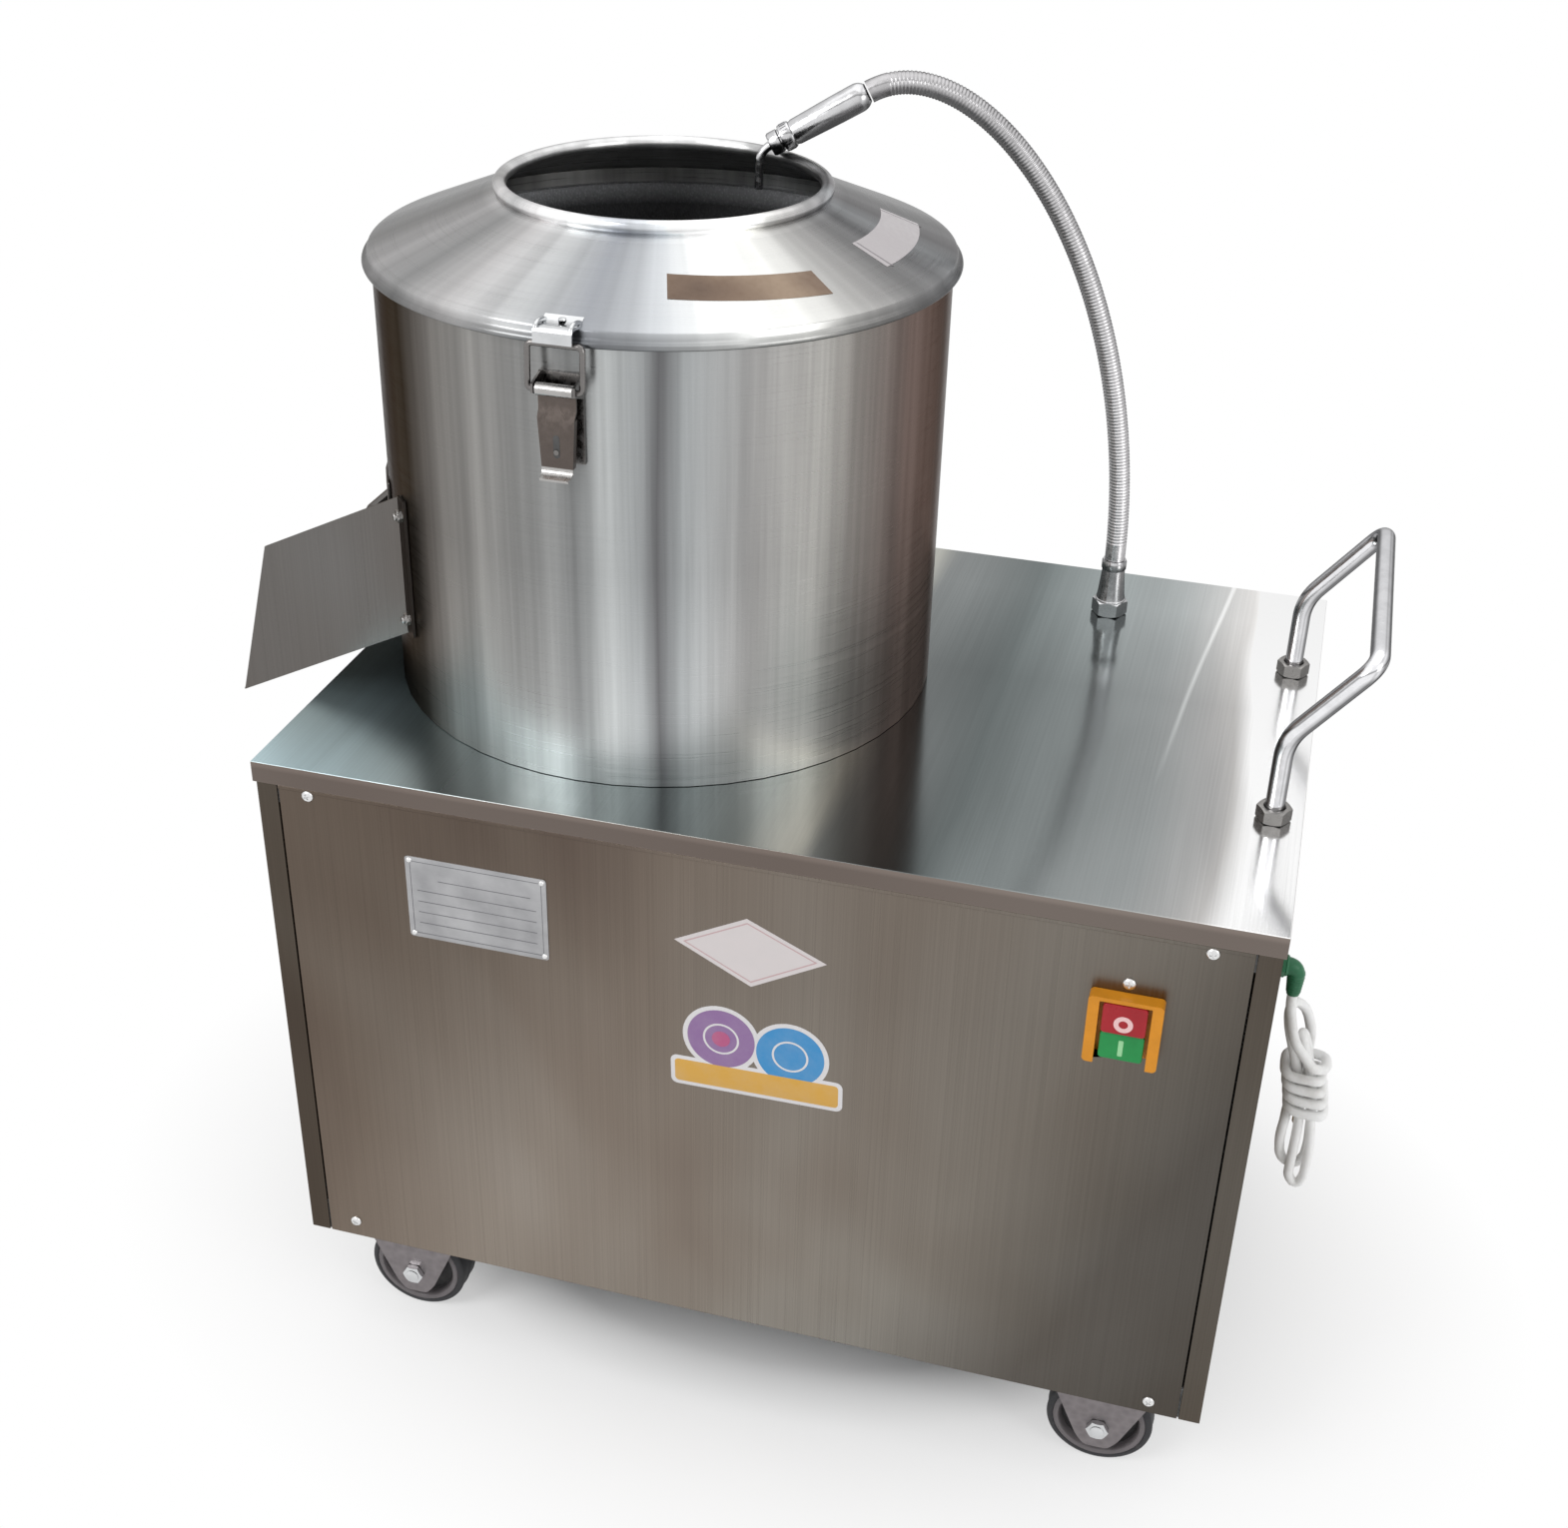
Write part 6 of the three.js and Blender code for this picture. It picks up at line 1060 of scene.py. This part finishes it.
def make_switch():
    """The housing is open below its buttons. Their marks are a ring and a bar."""
    middle, mark_x, opening_half_w = 258.0, 257.8, 16.8
    opening = box(middle - opening_half_w, -262, 400, middle + opening_half_w, -244, 411.5)
    dressed("switch_housing", "yellow", 1.6, 4, cut=opening)
    dressed("stop_button", "red", 0.9, 3)
    dressed("start_button", "green", 0.9, 3)
    ring = lathe([(3.0, 0), (6.2, 0), (6.2, 0.22), (3.0, 0.22)], 48, closed=True)
    made("stop_mark", ring, "stop_mark", "stop", spot(mark_x, -257.04, 442, TO_FRONT))
    bar = rounded_plate(3.2, 12.5, 0.8, 0.22)
    made("start_mark", bar, "start_mark", "start", spot(mark_x, -255.04, 421.5, TO_FRONT))


make_switch()


# Casters

AXLE_Z, PLATE_TOP = 40, 51.7


def make_wheel(name, place):
    body = name + "_wheel"
    tread = [(34.6, -13.2), (35.2, -13.9), (36.4, -13.9)] + arc(36.6, -10.4, 3.2, -60, -8, 7)
    tread += arc(36.9, 0, 3.1, -55, 55, 8)[1:-1] + arc(36.6, 10.4, 3.2, 8, 60, 7)
    tread += [(36.4, 13.9), (35.2, 13.9), (34.6, 13.2)]
    rim = [(28.9, -8.2), (29.3, -9.6), (30.0, -13.0), (30.9, -13.9), (33.8, -14.1), (34.8, -13.2)]
    web = [(5.3, -16.7), (11.6, -16.7), (12.8, -15.8), (12.8, -8.2), (14, -7), (27.6, -7), (29.1, -8.4)]
    made(name + "_tyre", lathe(tread, 72, closed=True), "tyre", body, place, stands_for=name + "_caster_wheel")
    made(name + "_rim", mirrored(rim), "rim", body, place)
    made(name + "_hub", mirrored(web), "hub", body, place)


def make_caster(name, x, y):
    place = spot(x, y, AXLE_Z, TO_FRONT)
    make_wheel(name, place)
    half = [(9, -21), (16, -12), (34.5, 30), (37, PLATE_TOP)]
    outline = bent([(-px, py, 0) for px, py in reversed(half)] + [(px, py, 0) for px, py in half], 3.5, 4)
    cheek_in, cheek_out, nut_foot = 17.2, 20.0, 20.3
    fork = Shape()
    for side in (-1, 1):
        fork.put(skin([[(p.x, side * cheek_y, p.y) for p in outline] for cheek_y in (cheek_in, cheek_out)]))
    fork.put(box(-38, -32, 48.9, 38, 32, PLATE_TOP))
    made(name + "_fork", fork, "fork", place=spot(x, y, AXLE_Z), stands_for=name + "_caster_fork", bevel=0.5)
    pin = Shape()
    for turn in (0, math.pi):
        flip = Matrix.Rotation(turn, 4, "X")
        pin.put(hex_nut(8.6, 4.2), flip @ moved(0, 0, nut_foot))
        pin.put(lathe([(5.6, 24), (5.2, 25.2), (3.6, 26.2), (0, 26.6)], 32), flip)
    pin.put(lathe([(4.9, -20.4), (4.9, 20.4)], 32))
    made(name + "_axle_bolt", pin, "chrome", place=place, stands_for=name + "_caster_axle")
    bolts, bolt_height = Shape(), 4.0
    for dx in (-29, 29):
        for dy in (-25.5, 25.5):
            bolts.put(hex_nut(5.6, bolt_height), moved(dx, dy, AXLE_Z + PLATE_TOP - bolt_height))
    made(name + "_plate_bolts", bolts, "zinc", place=spot(x, y, 0))


for end, y in (("front", -199.5), ("back", 199.5)):
    for side, x in (("left", -277), ("right", 277)):
        make_caster(f"{end}_{side}", x, y)


# Inside and under the cabinet

for node, finish, bevel in (
        ("main_shaft", "chrome", 0.4), ("disc_nut", "chrome", 0.4), ("bearing_housing", "cast", 0.8),
        ("lower_bearing", "chrome", 0.3), ("upper_bearing", "chrome", 0.3), ("large_pulley", "cast", 0.6),
        ("motor_pulley", "cast", 0.6), ("drive_belt", "belt", 0.4), ("motor", "motor", 0.9),
        ("drain_pipe", "zinc", 0.3)):
    dressed(node, finish, bevel, flat=0.2)


# Fasteners

def screw_head(r, height):
    dome = stud((r, 0), (r, height * 0.3), (r * 0.9, height * 0.62), (r * 0.66, height * 0.9), (0, height), steps=32)
    a, b = r * 0.52, r * 0.12
    outline = [(b, b), (b, a), (-b, a), (-b, b), (-a, b), (-a, -b)]
    outline += [(-x, -y) for x, y in outline]
    cross = skin([[(x, y, z) for x, y in outline] for z in (height * 0.45, height * 2)])
    return carved(dome, cross, "screw_template")


def make_screws(name, places, y, facing_out, first_turn, turn_step):
    """Cross-head screws on a panel, each one turned differently."""
    screws = Shape()
    for i, (x, z) in enumerate(places):
        turn = facing_out.to_4x4() @ Matrix.Rotation(first_turn + i * turn_step, 4, "Z")
        screws.put(SCREW_HEAD, moved(x, y, z) @ turn)
    made(name, screws, "screw")


def make_chute_bolts():
    bolts = Shape()
    for degrees in (136.2, 223.8):
        way = round_barrel(degrees)[0]
        for z in (594, 672):
            place = moved(*(Vector((BARREL_X, BARREL_Y, z)) + way * (BARREL_R + 2)), facing(way))
            bolts.put(hex_nut(4.6, 3.4), place)
            bolts.put(lathe([(2.6, 3.2), (2.6, 5.2), (2.0, 5.8), (0, 5.8)], 20), place)
    made("chute_bolts", bolts, "latch")


def make_latch_rivets():
    rivets = Shape()
    for degrees in (-90, 90):
        way = round_barrel(degrees)[0]
        place = Vector((BARREL_X, BARREL_Y, 759.5)) + way * (BARREL_R + 1.8)
        rivets.put(stud((2.8, 0), (2.5, 0.9), (1.5, 1.5), (0, 1.7)), moved(*place, facing(way)))
    made("latch_rivets", rivets, "screw")


SCREW_HEAD = screw_head(4.4, 2.3)
make_screws("front_screws", ((-309.7, 500.5), (-309.1, 110.5), (305.9, 500.2), (310.6, 106.5), (257.7, 466.5)),
            FRONT - 0.05, TO_FRONT, 0.4, 0.7)
make_screws("back_screws", ((-309, 500), (-309, 110), (309, 500), (309, 110)), -FRONT + 0.75, TO_BACK, 0.2, 0.9)
make_chute_bolts()
make_latch_rivets()


# Plates and stickers, all without words

def make_name_plate():
    place, thick, line_w = spot(-188.5, FRONT, 432.5, TO_FRONT), 0.7, 0.5
    made("name_plate", rounded_plate(104, 67, 2.5, thick), "plate", place=place)
    lines = Shape()
    rows = [(-28, 16, 40, 16.6)] + [(-44, low, 44, low + 0.6) for low in (6, -3, -12, -21)]
    half_w, half_h = 48.5, 30
    border = [(-half_w, -half_h, half_w, -half_h + line_w), (-half_w, half_h - line_w, half_w, half_h),
              (-half_w, -half_h, -half_w + line_w, half_h), (half_w - line_w, -half_h, half_w, half_h)]
    for x0, y0, x1, y1 in rows + border:
        lines.put(box(x0, y0, thick, x1, y1, thick + 0.08))
    made("name_plate_lines", lines, "ink", place=place)
    rivets = Shape()
    for dx in (-48.8, 48.8):
        for dz in (-30.4, 30.4):
            rivets.put(stud((2.2, 0.6), (2.0, 1.3), (1.2, 1.9), (0, 2.0)), moved(dx, dz, 0))
    made("name_plate_rivets", rivets, "screw", place=place)


def on_front(points, near, far):
    """A flat shape on the front panel, from its outline in x and z."""
    return skin([[(x, FRONT - out, z) for x, z in points] for out in (near, far)])


def make_diamond():
    corners = [(-45.6, 436.7), (5.2, 463.7), (60.7, 438.3), (8.8, 408.8)]
    made("diamond_sticker", on_front(corners, 0, 0.25), "blush")
    middle_x, middle_z = sum(x for x, _ in corners) / 4, sum(z for _, z in corners) / 4
    outer, inner = [[(middle_x + (x - middle_x) * share, middle_z + (z - middle_z) * share) for x, z in corners]
                    for share in (0.88, 0.845)]
    line = Shape()
    for i in range(4):
        j = (i + 1) % 4
        line.put(on_front([outer[i], outer[j], inner[j], inner[i]], 0.2, 0.3))
    made("diamond_sticker_line", line, "rose")


def make_badge():
    """Two plain ringed discs over a bar, each with a pale border."""
    r, border = 24.2, 3.5
    discs = (("left", (-12, 359.5), 0.18, ("violet", "white", "magenta")),
             ("right", (37.5, 355.5), 0.22, ("blue", "white", "blue")))
    base = Shape()
    for _, (cx, cz), thick, _ in discs:
        base.put(on_front([(cx + x, cz + z) for x, z, _ in circle(r + border, 0, 48)], 0, thick))
    made("badge_border", base, "white")
    for name, (cx, cz), _, tones in discs:
        for i, (tone, low, high) in enumerate(zip(tones, (0, 11.5, 0), (r, 13, 6.5))):
            near, far = 0.2, 0.32 + i * 0.04
            disc = lathe([(low, near), (high, near), (high, far), (low, far)], 56, closed=True)
            made(f"badge_{name}_{i}", disc, tone, place=spot(cx, FRONT, cz, TO_FRONT))
    tilt = (TO_FRONT.to_4x4() @ Matrix.Rotation(0.02, 4, "Z")).to_3x3()
    made("badge_bar_border", rounded_plate(124, 25, 5, 0.3), "white", place=spot(13.5, FRONT, 327, tilt))
    made("badge_bar", rounded_plate(118, 19, 3, 0.34), "gold", place=spot(13.5, FRONT - 0.05, 327, tilt))


def cone_patch(name, finish, start, end, low, high, thick, drift=0, steps=30):
    """A thin patch on the lid's cone between two angles and two radii, which drift along it."""
    sunk = 0.02

    def ring(share):
        a = math.radians(start + (end - start) * share)
        normal = Vector((CONE_SLOPE * math.cos(a), CONE_SLOPE * math.sin(a), 1)).normalized()
        out = []
        for r, up in ((low, 0.0), (high, 0.0), (high, thick), (low, thick)):
            r += drift * share
            point = Vector((BARREL_X + r * math.cos(a), BARREL_Y + r * math.sin(a), cone_z(r)))
            out.append(point + normal * (up - sunk))
        return out

    made(name, skin([ring(i / steps) for i in range(steps + 1)]), finish, "lid")


make_name_plate()
make_diamond()
make_badge()
cone_patch("lid_strip", "bronze", -71, -36, 148, 170, 0.25, 9)
cone_patch("lid_sticker", "paper", -16, 19, 146, 172.5, 0.25)
for name, start in (("a", -14.6), ("b", 17.1)):
    cone_patch(f"lid_sticker_line_{name}", "line", start, start + 0.5, 146, 172.5, 0.32, 2)


# Floor and light

FLOOR_R, FLOOR_Z, AMBIENT = 12, -0.0005, 0.55
MIDDLE = (0, 0, 0.5)


def make_floor():
    """A floor that fades into the white background away from the machine, for the camera and for mirror images."""
    mesh = bpy.data.meshes.new("floor")
    mesh.from_pydata(circle(FLOOR_R, FLOOR_Z, 64), [], [tuple(range(64))])
    floor = bpy.data.objects.new("floor", mesh)
    scene.collection.objects.link(floor)
    p = Paint("floor_paint", (0.93, 0.93, 0.93), 0.0, 0.85, Specular_IOR_Level=0.1)
    p.put(Base_Color=p.ramp(p.noise(p.coords, 6, 3), (0.3, 0.915), (0.7, 0.945)))
    p.bump(p.noise(p.coords, 60, 2), 0.02, 0.001)
    far = p.vector("LENGTH", p.scaled(1, 1.35, 1), out="Value")
    away = p.ramp(far, (0.27, 0), (0.35, 0.45), (0.62, 1))
    share = p.maths("MULTIPLY", away, p.seen("Camera", "Glossy"))
    both = p.node("MixShader", {0: share, 1: p.shader.outputs[0], 2: p.node("Emission", {"Strength": 1})})
    p.fill(p.tree.nodes["Material Output"], {"Surface": both})
    mesh.materials.append(p.material)


def make_world():
    """White where it is seen, and dimmer as a light."""
    world = bpy.data.worlds.new("studio")
    scene.world = world
    world.use_nodes = True
    w = Nodes(world.node_tree)
    w.tree.nodes.clear()
    dim, full = [w.node("Background", {"Color": (1, 1, 1, 1), "Strength": strength}) for strength in (AMBIENT, 1)]
    mix = w.node("MixShader", {0: w.seen("Camera", "Transmission", "Glossy"), 1: dim, 2: full})
    w.fill(w.tree.nodes.new("ShaderNodeOutputWorld"), {"Surface": mix})


def lamp(name, place, size, energy):
    """A square area lamp that points at the machine's middle."""
    data = bpy.data.lights.new(name, "AREA")
    data.shape = "RECTANGLE"
    data.size = data.size_y = size
    data.energy = energy
    obj = bpy.data.objects.new(name, data)
    scene.collection.objects.link(obj)
    aim = (Vector(MIDDLE) - Vector(place)).to_track_quat("-Z", "Y").to_matrix().to_4x4()
    obj.matrix_world = Matrix.Translation(place) @ aim


make_floor()
make_world()
lamp("key", (-1.6, -2.2, 2.6), 1.6, 46)
lamp("fill", (2.4, -1.2, 1.6), 1.4, 16)
lamp("top", (0.2, 0.6, 3.2), 3.6, 24)

scene.view_settings.view_transform = "Standard"
